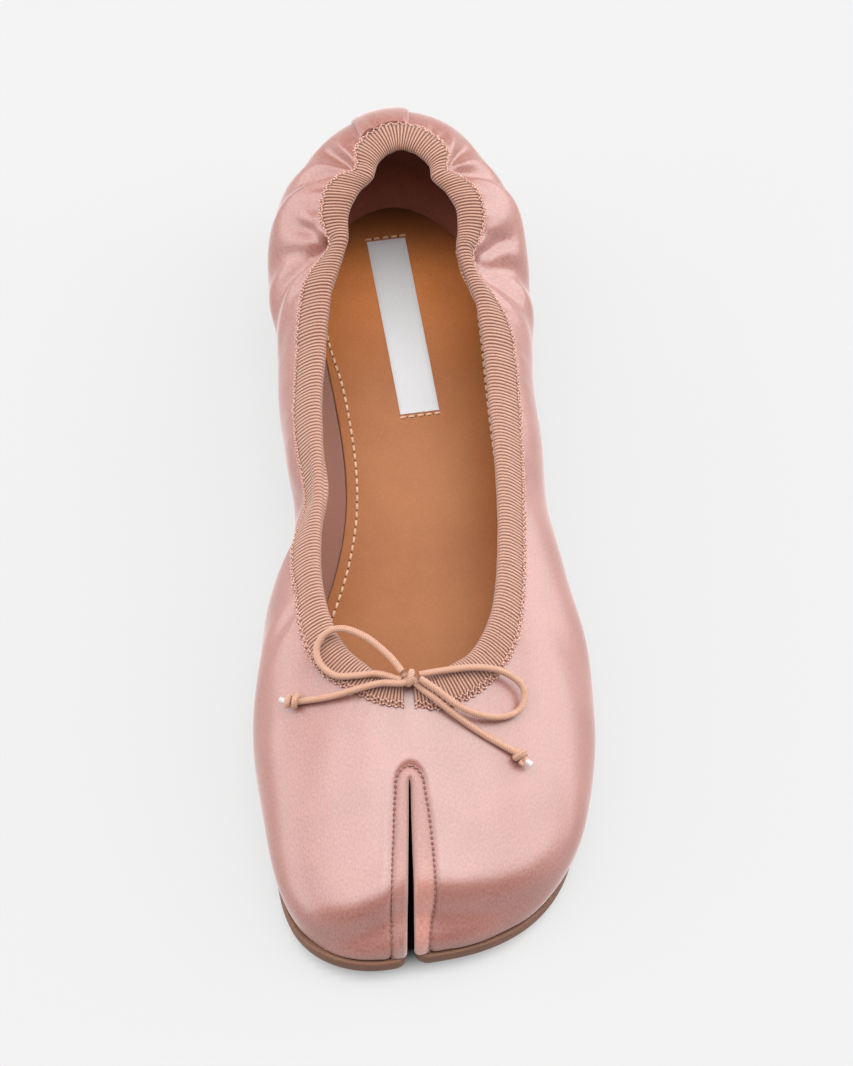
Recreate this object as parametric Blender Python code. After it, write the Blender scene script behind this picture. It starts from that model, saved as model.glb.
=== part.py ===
"""Ballet flat with a split toe, the shoe of the left foot, standing empty on its sole.

+Z is up, the toe points to -Y and the big toe's side is -X.  The origin is on the ground
under the middle of the shoe.  Each piece that a maker cuts is one object.
"""
import bpy
import bmesh
import numpy as np
from mathutils import Vector
from mathutils.bvhtree import BVHTree

for stale in list(bpy.data.objects):
    bpy.data.objects.remove(stale)

MM = 0.001

# Driving sizes of the last
LENGTH = 247.0 * MM
BALL_WIDTH = 90.5 * MM
INSTEP = 41.0 * MM
HEEL_HEIGHT = 59.5 * MM

# Thicknesses of the materials
UPPER_WALL = 1.4 * MM
GUSSET_WALL = 1.1 * MM
RIBBON_WALL = 0.7 * MM
TAB_WALL = 0.7 * MM
SOLE_THICK = 3.5 * MM
INSOLE_THICK = 2.5 * MM
LABEL_THICK = 0.5 * MM
CORD_RADIUS = 0.85 * MM

SHARP = np.radians(50)      # a bend over this is an edge when shaded

# Fits between the pieces
CLEARANCE = 0.3 * MM
SNUG = 0.4 * MM

# Sole
SOLE_LIP = 0.9 * MM
SOLE_BEVEL = 0.5 * MM
INSOLE_INSET = 2.0 * MM
LIFT_INSET = 1.2 * MM
LIFT_FRONT = 0.775          # where the heel lift begins, as a part of the length
SPLIT_MARGIN = 0.5 * MM     # between the insole's split and the gusset's wall

# Label on the insole
LABEL_LENGTH = 57.8 * MM
LABEL_WIDTH = 10.7 * MM
LABEL_X = 1.0 * MM
LABEL_BACK = 200.6 * MM     # its middle, behind the toe tip
LABEL_TURN = np.radians(6.4)
LABEL_GAP = 0.15 * MM

# Cleft between the toes
CLEFT_BACK = 41.5 * MM      # its closed end, behind the toe tip
CLEFT_HALF_BACK = 0.6 * MM  # half of its gap at the closed end
CLEFT_HALF_TOE = 1.3 * MM   # half of its gap at the tip
CLEFT_LEAN = -0.030         # how far it turns to the big toe's side, per unit forwards
CLEFT_X = -5.6 * MM         # where its closed end is across the shoe
LOBE_CORNER = 3.2 * MM      # radius at the mouth of the cleft
SEAM_OUT = 5.3 * MM         # from the cleft to the seam with the upper
SEAM_BACK = 45.5 * MM       # where the seam goes round the cleft's closed end
ROLL = 2.2 * MM             # radius of the roll into the cleft
GUSSET_GAP = 0.45 * MM      # from the gusset's lower edge to the outsole

# Collar ribbon
RIBBON_FACE = 9.3 * MM
RIBBON_LINING = 5.2 * MM
TOPLINE_DROP = 1.7 * MM     # the upper's raw edge, below the fold of the ribbon
THROAT_X = -5.0 * MM
THROAT_GAP = 4.4 * MM       # between the ribbon's two ends, behind the bow

# Strip over the seam at the back of the heel
TAB_HALF = 7.7 * MM
TAB_X = -4.0 * MM

# Height of the sole's underside above the ground, from the toe (part of the length) to the heel
UNDERSIDE = [
    # station, height in mm
    (0.000, 5.0),
    (0.060, 3.0),
    (0.140, 0.8),
    (0.210, 0.0),
    (0.356, 0.0),
    (0.453, 1.2),
    (0.567, 3.5),
    (0.688, 5.8),
    (0.770, 6.6),
    (1.000, 7.0),
]

# Sections of the last, from the toe round the outer side to the heel and back.
# foot_x, top_x, low_out and high_out are in percent of the ball width, foot_s and top_s in
# percent of the length behind the toe tip, low_up and high_down in percent of the instep.
# top_z runs from 0 at the height of the instep to 100 at the height of the heel.
# low_out and low_up lead the wall away from the foot edge, high_out and high_down from the top.
SECTIONS = [
    # name,                 foot_x, foot_s, top_x, top_s, top_z, low_out, low_up, high_out, high_down
    ("toe centre",           -7.7,  0.73,   -5.3, 26.72,    0,   0.0,  31.7,  44.2,  35.4),
    ("lateral toe a",         3.3,  1.38,    0.6, 27.04,    1,   0.9,  31.7,  43.1,  34.1),
    ("lateral toe b",        14.9,  2.59,    6.1, 28.02,    3,   3.3,  31.7,  39.8,  32.9),
    ("lateral toe c",        26.3,  5.18,   10.7, 29.31,    5,   6.6,  30.5,  35.4,  30.5),
    ("lateral toe d",        35.6,  9.39,   14.6, 31.09,    6,   9.4,  28.0,  30.9,  28.0),
    ("lateral joint a",      41.5, 15.30,   17.7, 33.44,    8,  11.6,  22.0,  28.7,  24.4),
    ("lateral joint b",      44.1, 22.51,   20.1, 36.68,    9,  13.3,  17.1,  27.6,  23.2),
    ("ball lateral",         44.0, 30.36,   21.7, 40.69,    9,  13.8,  14.6,  26.0,  22.0),
    ("lateral waist a",      40.7, 38.46,   22.7, 45.55,    8,  13.8,  14.6,  23.2,  19.5),
    ("lateral waist b",      35.9, 46.96,   23.3, 51.42,    8,  13.3,  14.6,  19.9,  19.5),
    ("lateral waist c",      31.8, 55.87,   23.6, 58.30,   10,  12.7,  12.2,  19.3,  19.5),
    ("lateral quarter a",    29.6, 64.78,   23.3, 65.79,   16,  13.3,  12.2,  20.4,  19.5),
    ("lateral quarter b",    28.5, 73.68,   21.7, 73.28,   30,  14.4,  17.1,  23.2,  22.0),
    ("lateral quarter c",    27.6, 82.19,   18.1, 80.77,   57,  16.0,  22.0,  27.6,  17.1),
    ("lateral heel",         24.5, 89.68,   13.9, 86.64,   86,  14.4,  34.1,  29.8,   2.4),
    ("lateral back",         14.9, 95.55,    8.4, 90.28,   97,  11.0,  41.5,  28.7,  -6.1),
    ("back centre",           0.0, 98.10,    0.3, 92.02,  100,   8.3,  43.9,  27.6,  -9.8),
    ("medial back",         -14.9, 95.55,   -7.7, 90.45,   97,  11.0,  41.5,  29.8,  -6.1),
    ("medial heel",         -24.1, 89.68,  -13.0, 86.84,   86,  16.6,  34.1,  32.0,   2.4),
    ("medial quarter c",    -25.9, 82.19,  -16.8, 81.17,   57,  19.3,  22.0,  29.8,  17.1),
    ("medial quarter b",    -23.4, 73.68,  -21.4, 73.89,   30,  20.4,  17.1,  22.1,  22.0),
    ("medial quarter a",    -20.8, 64.78,  -25.0, 66.19,   16,  22.7,  12.2,  17.1,  19.5),
    ("medial waist c",      -21.4, 55.87,  -26.9, 58.30,   10,  19.3,  12.2,  13.3,  18.3),
    ("medial waist b",      -27.4, 46.96,  -27.8, 51.01,    8,  14.4,  14.6,   9.9,  19.5),
    ("medial waist a",      -35.4, 39.27,  -28.6, 44.94,    8,  12.7,  14.6,  16.6,  22.0),
    ("ball medial",         -40.7, 31.58,  -28.5, 39.68,    9,  12.2,  17.1,  22.7,  24.4),
    ("medial joint b",      -43.1, 23.89,  -27.0, 35.63,    8,  11.6,  19.5,  26.5,  24.4),
    ("medial joint a",      -43.8, 16.60,  -24.1, 32.23,    6,   9.9,  22.0,  29.8,  24.4),
    ("medial toe d",        -43.1, 10.12,  -20.3, 29.88,    4,   7.2,  26.8,  33.1,  26.8),
    ("medial toe c",        -38.9,  4.62,  -16.4, 28.26,    2,   4.4,  30.5,  37.6,  30.5),
    ("medial toe b",        -30.1,  1.30,  -12.8, 27.29,    1,   1.7,  31.7,  42.0,  34.1),
    ("medial toe a",        -18.6,  0.24,   -9.1, 26.80,    0,   0.2,  31.7,  44.2,  35.4),
]

# Gathers that the elastic draws into the collar: station round the last, depth of the fold in
# mm, half width in stations and where up the wall (0 foot, 1 top) it begins.  A negative depth
# is the wall swelling out between two folds.
GATHERS = [
    # name,              station, depth, half_width, begins
    ("outer back",         14.62,   3.8,       0.29,   0.52),
    ("outer quarter",      13.12,   2.8,       0.29,   0.58),
    ("inner back",         17.40,   4.0,       0.29,   0.50),
    ("inner quarter",      18.80,   3.0,       0.29,   0.55),
    ("inner waist tuck",   23.50,   1.6,       0.42,   0.40),
    ("back pillow",        16.00,  -0.9,       0.55,   0.60),
    ("outer pillow",       13.90,  -0.9,       0.34,   0.60),
    ("inner pillow",       18.10,  -0.9,       0.34,   0.60),
]
GATHER_FULL = 0.86          # where up the wall a fold is deepest
GATHER_EASE = 0.8           # how much of it is gone at the topline

# Where the soles bend, as parts of the length
BENDS = [0.03, 0.06, 0.10, 0.14, 0.18, 0.22, 0.35, 0.39, 0.43, 0.47, 0.52, 0.57, 0.62, 0.67,
         0.72, 0.78, 0.86]

# Columns of the upper's grid, closer together where the collar is gathered
COLUMNS = [
    # from station, to station, columns
    (0.0, 12.4, 27),
    (12.4, 19.4, 46),
    (19.4, 32.0, 30),
]
# Rows from the foot edge, as parts of the way to the ribbon's lower edge
ROWS_UP = [0.0, 0.09, 0.20, 0.33, 0.47, 0.61, 0.75, 0.88]
# Rows under the ribbon, as distances below its fold
RIBBON_ROWS = [RIBBON_FACE, RIBBON_LINING, TOPLINE_DROP]
# Rows of the toe gusset up the wall
GUSSET_ROWS = [0.0, 0.05, 0.11, 0.18, 0.26, 0.35, 0.44, 0.53, 0.61, 0.68]
ARCH_ANGLES = np.radians([30, 60, 90, 120, 150])    # round the cleft's closed end


class RoundCurve:
    """Smooth closed curve through the rows of a table; the parameter is the row number."""

    def __init__(self, rows):
        self.rows = np.asarray(rows, float)
        self.count = len(self.rows)
        ahead = np.roll(self.rows, -1, 0)
        behind = np.roll(self.rows, 1, 0)
        link = 4.0 * np.eye(self.count)
        link += np.roll(np.eye(self.count), 1, 0) + np.roll(np.eye(self.count), -1, 0)
        self.slopes = np.linalg.solve(link, 3.0 * (ahead - behind))

    def __call__(self, u):
        whole = np.floor(u)
        t = (u - whole)[..., None]
        i = whole.astype(int) % self.count
        j = (i + 1) % self.count
        start = (1 + 2 * t) * (1 - t) ** 2 * self.rows[i] + t * (1 - t) ** 2 * self.slopes[i]
        end = t * t * (3 - 2 * t) * self.rows[j] + t * t * (t - 1) * self.slopes[j]
        return start + end


def smoothstep(low, high, x):
    t = np.clip((x - low) / (high - low), 0.0, 1.0)
    return t * t * (3 - 2 * t)


def monotone(table, x):
    """Smooth curve through (x, y) rows that never overshoots them."""
    xs, ys = np.array(table, float).T
    width = np.diff(xs)
    rise = np.diff(ys) / width
    slope = np.zeros(len(xs))
    both = rise[:-1] * rise[1:]
    safe = np.where(both > 0, rise[:-1] + rise[1:], 1.0)
    slope[1:-1] = np.where(both > 0, 2 * both / safe, 0.0)
    x = np.clip(x, xs[0], xs[-1])
    i = np.clip(np.searchsorted(xs, x) - 1, 0, len(width) - 1)
    t = (x - xs[i]) / width[i]
    start = (1 + 2 * t) * (1 - t) ** 2 * ys[i] + t * (1 - t) ** 2 * width[i] * slope[i]
    end = t * t * (3 - 2 * t) * ys[i + 1] + t * t * (t - 1) * width[i] * slope[i + 1]
    return start + end


def underside(s):
    """Height of the sole's underside at a distance s behind the toe tip."""
    return MM * monotone(UNDERSIDE, s / LENGTH)


def along(s):
    """Y of a distance s behind the toe tip."""
    return s - LENGTH / 2


NUMBERS = np.array([row[1:] for row in SECTIONS], float) / 100
STATIONS = len(SECTIONS)
UPPER_STATIONS = np.concatenate([np.linspace(a, b, n, endpoint=False) for a, b, n in COLUMNS])
foot_curve = RoundCurve(NUMBERS[:, 0:2] * [BALL_WIDTH, LENGTH])
top_rows = NUMBERS[:, 2:5] * [BALL_WIDTH, LENGTH, HEEL_HEIGHT - INSTEP] + [0, 0, INSTEP]
top_curve = RoundCurve(top_rows)
handles = RoundCurve(NUMBERS[:, 5:9] * [BALL_WIDTH, INSTEP, BALL_WIDTH, INSTEP])


def outward(curve, u, reach=0.02):
    """Unit direction in the ground plane, away from the inside of a closed curve."""
    run = curve(u + reach)[..., :2] - curve(u - reach)[..., :2]
    run = run / np.linalg.norm(run, axis=-1, keepdims=True)
    return np.stack([run[..., 1], -run[..., 0]], -1)


def smooth_wall(u, v):
    """Outside of the upper before the collar is gathered: v runs from foot edge to topline."""
    u, v = np.broadcast_arrays(np.asarray(u, float), np.asarray(v, float))
    foot = foot_curve(u)
    top = top_curve(u)
    reach = handles(u)
    ground = underside(foot[..., 1]) + SOLE_THICK + CLEARANCE
    start = np.concatenate([foot, ground[..., None]], -1)
    low = np.concatenate([outward(foot_curve, u) * reach[..., 0:1], reach[..., 1:2]], -1)
    high = np.concatenate([outward(top_curve, u, 0.3) * reach[..., 2:3], -reach[..., 3:4]], -1)
    t = v[..., None]
    point = (1 - t) ** 3 * start + 3 * (1 - t) ** 2 * t * (start + low)
    point = point + 3 * (1 - t) * t * t * (top + high) + t ** 3 * top
    point[..., 1] -= LENGTH / 2
    return point


def normals(surface, u, v, step=0.004):
    """Outward unit normals of a surface of u and v."""
    v = np.clip(v, step, 1 - step)
    across = surface(u + 5 * step, v) - surface(u - 5 * step, v)
    upward = surface(u, v + step) - surface(u, v - step)
    cross = np.cross(across, upward)
    return cross / np.linalg.norm(cross, axis=-1, keepdims=True)


def gather_depth(u, v):
    """How far the elastic draws the wall inwards."""
    depth = np.zeros(np.broadcast(u, v).shape)
    for _, station, deep, half_width, begins in GATHERS:
        fold = np.exp(-((u - station) / half_width) ** 2)
        rise = smoothstep(begins, GATHER_FULL, v)
        rise = rise * (1 - GATHER_EASE * smoothstep(GATHER_FULL + 0.02, 1.0, v))
        depth = depth + deep * MM * fold * rise
    return depth


def wall(u, v):
    """Outside of the upper."""
    u, v = np.broadcast_arrays(np.asarray(u, float), np.asarray(v, float))
    return smooth_wall(u, v) - normals(smooth_wall, u, v) * gather_depth(u, v)[..., None]


def below_topline(u, distance):
    """v of the point a distance down the wall from the fold of the ribbon."""
    samples = np.linspace(1.0, 0.5, 41)
    line = smooth_wall(u[:, None], samples[None, :])
    run = np.linalg.norm(np.diff(line, axis=1), axis=-1)
    run = np.concatenate([np.zeros((len(u), 1)), np.cumsum(run, 1)], 1)
    return np.array([np.interp(distance, row, samples) for row in run])


def layer(u, v, offset):
    """Surface at an offset outside the upper, negative towards the foot."""
    return wall(u, v) + normals(wall, u, v) * offset


def finish(name, color, roughness):
    """Material of one kind of piece."""
    material = bpy.data.materials.new(name)
    material.use_nodes = True
    shader = material.node_tree.nodes["Principled BSDF"]
    shader.inputs["Base Color"].default_value = (*color, 1.0)
    shader.inputs["Roughness"].default_value = roughness
    shader.inputs["Metallic"].default_value = 0.0
    return material


def place(name, data, material):
    """New object with its material."""
    thing = bpy.data.objects.new(name, data)
    bpy.context.collection.objects.link(thing)
    data.materials.append(material)
    return thing


def solid(name, points, faces, material):
    """Object from points and faces, its faces turned outwards and its soft bends shaded smooth."""
    mesh = bpy.data.meshes.new(name)
    mesh.from_pydata([tuple(p) for p in points], [], faces)
    body = bmesh.new()
    body.from_mesh(mesh)
    bmesh.ops.recalc_face_normals(body, faces=body.faces)
    body.to_mesh(mesh)
    body.free()
    mesh.shade_smooth()
    mesh.set_sharp_from_angle(angle=SHARP)
    return place(name, mesh, material)


def grid_faces(columns, rows, start=0, closed=False):
    """Quads over a grid of points; closed joins the last column to the first."""
    faces = []
    for i in range(columns if closed else columns - 1):
        j = (i + 1) % columns
        for k in range(rows - 1):
            a = start + i * rows + k
            b = start + j * rows + k
            faces.append((a, b, b + 1, a + 1))
    return faces


def shell(name, outer, inner, closed, material):
    """Solid between two grids of points."""
    columns, rows = outer.shape[:2]
    count = columns * rows
    points = np.concatenate([outer.reshape(-1, 3), inner.reshape(-1, 3)])
    faces = grid_faces(columns, rows, 0, closed)
    faces += [face[::-1] for face in grid_faces(columns, rows, count, closed)]
    for i in range(columns if closed else columns - 1):
        a = i * rows
        b = ((i + 1) % columns) * rows
        faces.append((b, a, a + count, b + count))
        a += rows - 1
        b += rows - 1
        faces.append((a, b, b + count, a + count))
    if not closed:
        last = (columns - 1) * rows
        for k in range(rows - 1):
            faces.append((k, k + 1, k + 1 + count, k + count))
            a = last + k
            faces.append((a + 1, a, a + count, a + 1 + count))
    return solid(name, points, faces, material)


def tube(name, rings, material):
    """Solid through a row of closed rings, flat at both ends."""
    columns, around = rings.shape[:2]
    faces = []
    for i in range(columns - 1):
        a = i * around
        b = a + around
        for k in range(around):
            n = (k + 1) % around
            faces.append((a + k, b + k, b + n, a + n))
    faces.append(tuple(range(around)))
    faces.append(tuple(reversed(range((columns - 1) * around, columns * around))))
    return solid(name, rings.reshape(-1, 3), faces, material)


def plate(name, outline, floor, roof, material, bevel=0.0):
    """Solid with a plan outline between two heights, each a function of s."""
    body = bmesh.new()
    body.faces.new([body.verts.new((x, y, 0.0)) for x, y in outline])
    for bend in BENDS:
        spot = (0.0, along(bend * LENGTH), 0.0)
        parts = body.verts[:] + body.edges[:] + body.faces[:]
        bmesh.ops.bisect_plane(body, geom=parts, plane_co=spot, plane_no=(0, 1, 0), dist=1e-5)
    raised = bmesh.ops.extrude_face_region(body, geom=body.faces[:])["geom"]
    raised = {part for part in raised if isinstance(part, bmesh.types.BMVert)}
    for vert in body.verts:
        height = roof if vert in raised else floor
        vert.co.z = float(height(np.array(vert.co.y + LENGTH / 2)))
    bmesh.ops.recalc_face_normals(body, faces=body.faces)
    mesh = bpy.data.meshes.new(name)
    body.to_mesh(mesh)
    body.free()
    thing = place(name, mesh, material)
    if bevel:
        edge = thing.modifiers.new("edge", "BEVEL")
        edge.width = bevel
        edge.segments = 1
        edge.limit_method = "ANGLE"
        edge.angle_limit = np.radians(60)
    return thing


def level(height):
    """Flat floor or roof of a plate."""
    return lambda s: 0.0 * s + height


def above(surface, rise):
    """Floor or roof of a plate at a height over another surface."""
    return lambda s: surface(s) + rise


# The cleft between the toes

def cleft_x(s):
    """Middle of the cleft across the shoe."""
    return CLEFT_X - CLEFT_LEAN * (s - CLEFT_BACK)


def cleft_half(s):
    """Half of the cleft's gap."""
    return CLEFT_HALF_TOE + (CLEFT_HALF_BACK - CLEFT_HALF_TOE) * smoothstep(0.0, CLEFT_BACK, s)


def cleft_side(s, side, extra=0.0):
    """Plan point on one side of the cleft, -1 at the big toe and 1 at the others."""
    return np.array([cleft_x(s) + side * (cleft_half(s) + extra), along(s)])


def toe_station(x):
    """Station of the foot edge in front of the toes that is at x."""
    tries = np.linspace(-3.0, 3.0, 1201)
    return np.interp(x, foot_curve(tries)[:, 0], tries)


def edge_points(stations, offset):
    """Plan points of the foot edge moved outwards."""
    points = foot_curve(stations) + outward(foot_curve, stations) * offset
    points[:, 1] -= LENGTH / 2
    return points


def lobe_side(toe, side, extra):
    """Plan points from the front of a toe round its corner and back along the cleft."""
    start = toe[1] + LOBE_CORNER + LENGTH / 2
    mouth = cleft_side(start, side, extra)
    knee = np.array([mouth[0], toe[1] + 0.15 * LOBE_CORNER])
    points = []
    for t in (1 / 3, 2 / 3, 1.0):
        points.append((1 - t) ** 2 * toe + 2 * t * (1 - t) * knee + t * t * mouth)
    for s in np.linspace(start, CLEFT_BACK, 6)[1:]:
        points.append(cleft_side(s, side, extra))
    return points


def split_outline(offset, extra=0.0):
    """Plan outline of a sole: the foot edge moved by offset, with the cleft cut in from the toe."""
    first = toe_station(cleft_side(0.0, 1, extra)[0] + LOBE_CORNER)
    last = toe_station(cleft_side(0.0, -1, extra)[0] - LOBE_CORNER) + STATIONS
    edge = edge_points(np.linspace(first, last, 76), offset)
    half = cleft_half(CLEFT_BACK) + extra
    end = np.array([cleft_x(CLEFT_BACK), along(CLEFT_BACK)])
    arch = [end + half * np.array([np.cos(a), np.sin(a)]) for a in np.radians([135, 90, 45])]
    big_toe = lobe_side(edge[-1], -1, extra)
    other_toes = lobe_side(edge[0], 1, extra)
    return list(edge) + big_toe + arch + other_toes[::-1]


# Materials

SATIN = finish("rose pink satin", (0.72, 0.49, 0.44), 0.42)
RIBBON = finish("rose grosgrain ribbon", (0.60, 0.36, 0.28), 0.6)
CORD = finish("rose twisted cord", (0.60, 0.36, 0.28), 0.55)
CORD_TIP = finish("clear sealed cord tip", (0.75, 0.72, 0.72), 0.15)
INSOLE_LEATHER = finish("tan insole leather", (0.46, 0.18, 0.07), 0.5)
SOLE_LEATHER = finish("brown sole leather", (0.27, 0.12, 0.07), 0.55)
LABEL_TAPE = finish("silver woven tape", (0.68, 0.69, 0.71), 0.45)


# The soles: the outsole stands on the ground under the ball, the lift under the heel

def sole_top(s):
    return underside(s) + SOLE_THICK


def insole_floor(s):
    return sole_top(s) + CLEARANCE


def insole_top(s):
    return insole_floor(s) + INSOLE_THICK


def make_outsole():
    plate("outsole", split_outline(SOLE_LIP), underside, sole_top, SOLE_LEATHER, SOLE_BEVEL)


def make_insole():
    outline = split_outline(-INSOLE_INSET, GUSSET_WALL + SPLIT_MARGIN)
    plate("insole", outline, insole_floor, insole_top, INSOLE_LEATHER)


def make_heel_lift():
    """Low stacked heel, flat on the ground, under the back of the outsole."""
    edge = edge_points(np.linspace(0.0, STATIONS, 160, endpoint=False), SOLE_LIP - LIFT_INSET)
    edge = edge[edge[:, 1] > along(LIFT_FRONT * LENGTH)]
    plate("heel_lift", edge, level(0.0), above(underside, -CLEARANCE), SOLE_LEATHER, SOLE_BEVEL)


def make_label():
    """Bare woven label, a little turned on the insole."""
    middle = np.array([LABEL_X, along(LABEL_BACK)])
    back = np.array([-np.sin(LABEL_TURN), np.cos(LABEL_TURN)]) * LABEL_LENGTH / 2
    side = np.array([np.cos(LABEL_TURN), np.sin(LABEL_TURN)]) * LABEL_WIDTH / 2
    corners = [middle - back - side, middle - back + side,
               middle + back + side, middle + back - side]
    floor = above(insole_top, LABEL_GAP)
    plate("insole_label", corners, floor, above(floor, LABEL_THICK), LABEL_TAPE)


# The upper: one hollow shell, with a slot cut down through the vamp for the toe gusset

def wall_rows(u):
    """v of every row of the upper at the stations u; the last three lie under the ribbon."""
    start = below_topline(u, RIBBON_FACE)
    plain = [start * part for part in ROWS_UP]
    return np.stack(plain + [below_topline(u, row) for row in RIBBON_ROWS], 1)


def seam_outline():
    """Plan outline of the slot: along the cleft, and an arch round its closed end."""
    line = np.linspace(-12 * MM, CLEFT_BACK, 9)
    big_toe = [cleft_side(s, -1, SEAM_OUT) for s in line]
    other_toes = [cleft_side(s, 1, SEAM_OUT) for s in line]
    reach = np.array([SEAM_OUT + cleft_half(CLEFT_BACK), SEAM_BACK - CLEFT_BACK])
    end = np.array([cleft_x(CLEFT_BACK), along(CLEFT_BACK)])
    arch = [end + reach * [np.cos(a), np.sin(a)] for a in ARCH_ANGLES]
    return other_toes + arch + big_toe[::-1]


def make_upper():
    rows = wall_rows(UPPER_STATIONS)
    outer = wall(UPPER_STATIONS[:, None], rows)
    inner = layer(UPPER_STATIONS[:, None], rows, -UPPER_WALL)
    upper = shell("upper", outer, inner, True, SATIN)
    slot = plate("slot_cutter", seam_outline(), level(-5 * MM), level(HEEL_HEIGHT), SATIN)
    slot.hide_render = True
    slot.display_type = "WIRE"
    cut = upper.modifiers.new("slot", "BOOLEAN")
    cut.operation = "DIFFERENCE"
    cut.solver = "EXACT"
    cut.object = slot


# Toe gusset: one strip from the seam, rolled over into the cleft and down to the sole

def vamp_at(x, v):
    """Point of the vamp that is at x, for one v."""
    tries = np.linspace(-4.0, 4.0, 801)
    line = smooth_wall(tries, np.full(len(tries), v))
    return np.array([np.interp(x, line[:, 0], line[:, axis]) for axis in range(3)])


def vamp_tree():
    """Search tree over the vamp."""
    u, v = np.meshgrid(np.linspace(-3, 3, 61), np.linspace(0.3, 0.9, 41), indexing="ij")
    points = smooth_wall(u.ravel(), v.ravel())
    return BVHTree.FromPolygons([Vector(p) for p in points], grid_faces(61, 41))


def gusset_column(on_vamp, inward, bottom, side, seam):
    """Points from the seam over the roll down to the sole; on_vamp gives the vamp's surface."""
    column = [on_vamp(SEAM_OUT - seam), on_vamp((SEAM_OUT + ROLL) / 2), on_vamp(ROLL)]
    start = column[-1]
    for angle in np.radians([30, 60, 90]):
        column.append(start + side * ROLL * np.sin(angle) + inward * ROLL * (1 - np.cos(angle)))
    column.append(bottom)
    return column


def gusset_bottom(s, side):
    """Point of the gusset's lower edge, on one side of the cleft."""
    return np.append(cleft_side(s, side), sole_top(s) + GUSSET_GAP)


def gusset_branch(side):
    """Columns along one side of the cleft, from the front of the toe to its closed end."""
    columns = []
    for v in GUSSET_ROWS:
        s = vamp_at(cleft_x(10 * MM), v)[1] + LENGTH / 2
        near = min(s, CLEFT_BACK)
        edge = cleft_side(near, side)[0]
        first = vamp_at(edge, 0.0)[1] + LENGTH / 2
        part = max((near - first) / (CLEFT_BACK - first), 0.0)
        first += 0.8 * LOBE_CORNER
        bottom = gusset_bottom(first + (CLEFT_BACK - first) * part, side)
        inward = bottom - vamp_at(edge, v)
        inward = inward / np.linalg.norm(inward)
        columns.append(gusset_column(lambda d: vamp_at(edge + side * d, v), inward, bottom,
                                     np.array([-side, 0.0, 0.0]), CLEARANCE))
        if s > CLEFT_BACK - 3 * MM:
            break
    return columns


def gusset_arch():
    """Columns round the cleft's closed end."""
    tree = vamp_tree()
    half = cleft_half(CLEFT_BACK)
    ratio = (SEAM_BACK - CLEFT_BACK - half) / SEAM_OUT
    down = Vector((0, 0, -1))
    columns = []
    for angle in [np.pi, *ARCH_ANGLES[::-1], 0.0]:
        away = np.array([np.cos(angle), np.sin(angle)])
        spread = away * [1.0, ratio]
        rim = np.array([cleft_x(CLEFT_BACK), along(CLEFT_BACK)]) + away * half
        bottom = np.append(rim, sole_top(CLEFT_BACK) + GUSSET_GAP)
        columns.append(gusset_column(
            lambda d: np.array(tree.ray_cast(Vector((*(rim + spread * d), 0.1)), down)[0]),
            np.array([0.0, 0.0, -1.0]), bottom, np.append(-spread, 0.0),
            CLEARANCE + GUSSET_WALL))
    return columns


def make_gusset():
    strip = np.array(gusset_branch(-1) + gusset_arch() + gusset_branch(1)[::-1])
    gusset = solid("toe_gusset", strip.reshape(-1, 3), grid_faces(*strip.shape[:2]), SATIN)
    thick = gusset.modifiers.new("wall", "SOLIDIFY")
    thick.thickness = GUSSET_WALL
    thick.offset = -1.0
    thick.use_even_offset = True


# Collar ribbon, folded over the topline, with two cut ends at the throat

def ribbon_section():
    """Distance below the fold and offset from the upper's outside, round the ribbon's section."""
    far = SNUG + RIBBON_WALL
    near = SNUG
    middle = -UPPER_WALL / 2
    return [
        (RIBBON_FACE, far),
        (RIBBON_LINING, far),
        (TOPLINE_DROP, far),
        (0.0, middle),
        (TOPLINE_DROP, -UPPER_WALL - far),
        (RIBBON_LINING, -UPPER_WALL - far),
        (RIBBON_LINING, -UPPER_WALL - near),
        (TOPLINE_DROP, -UPPER_WALL - near),
        (RIBBON_WALL, middle),
        (TOPLINE_DROP, near),
        (RIBBON_LINING, near),
        (RIBBON_FACE, near),
    ]


def ribbon_stations():
    """The upper's own stations between the ribbon's two ends."""
    tries = np.linspace(-2.0, 2.0, 401)
    across = top_curve(tries)[:, 0]
    first = np.interp(THROAT_X + THROAT_GAP / 2, across, tries)
    last = np.interp(THROAT_X - THROAT_GAP / 2, across, tries) + STATIONS
    between = UPPER_STATIONS[(UPPER_STATIONS > first + 0.1) & (UPPER_STATIONS < last - 0.1)]
    return np.concatenate([[first], between, [last]])


def make_binding():
    u = ribbon_stations()
    rings = [layer(u, below_topline(u, drop), offset) for drop, offset in ribbon_section()]
    tube("collar_binding", np.stack(rings, 1), RIBBON)


# Strip over the seam at the back of the heel

def back_station(x, v):
    """Station at the back of the heel that is at x, for one v."""
    tries = np.linspace(14.7, 17.3, 131)
    line = smooth_wall(tries, np.full(len(tries), v))
    return np.interp(-x, -line[:, 0], tries)


def make_heel_tab():
    top = below_topline(np.array([16.2]), RIBBON_FACE + CLEARANCE)[0]
    v = np.linspace(0.02, top, 11)
    across = TAB_X + TAB_HALF * np.linspace(1, -1, 7)
    u = np.array([[back_station(x, row) for row in v] for x in across])
    shell("heel_tab", layer(u, v, SNUG + TAB_WALL), layer(u, v, SNUG), False, SATIN)


# Bow at the throat: the two ends of the elastic's cord, tied in a bow.  Places are in mm:
# across the shoe, behind the toe tip, above the ground

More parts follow.
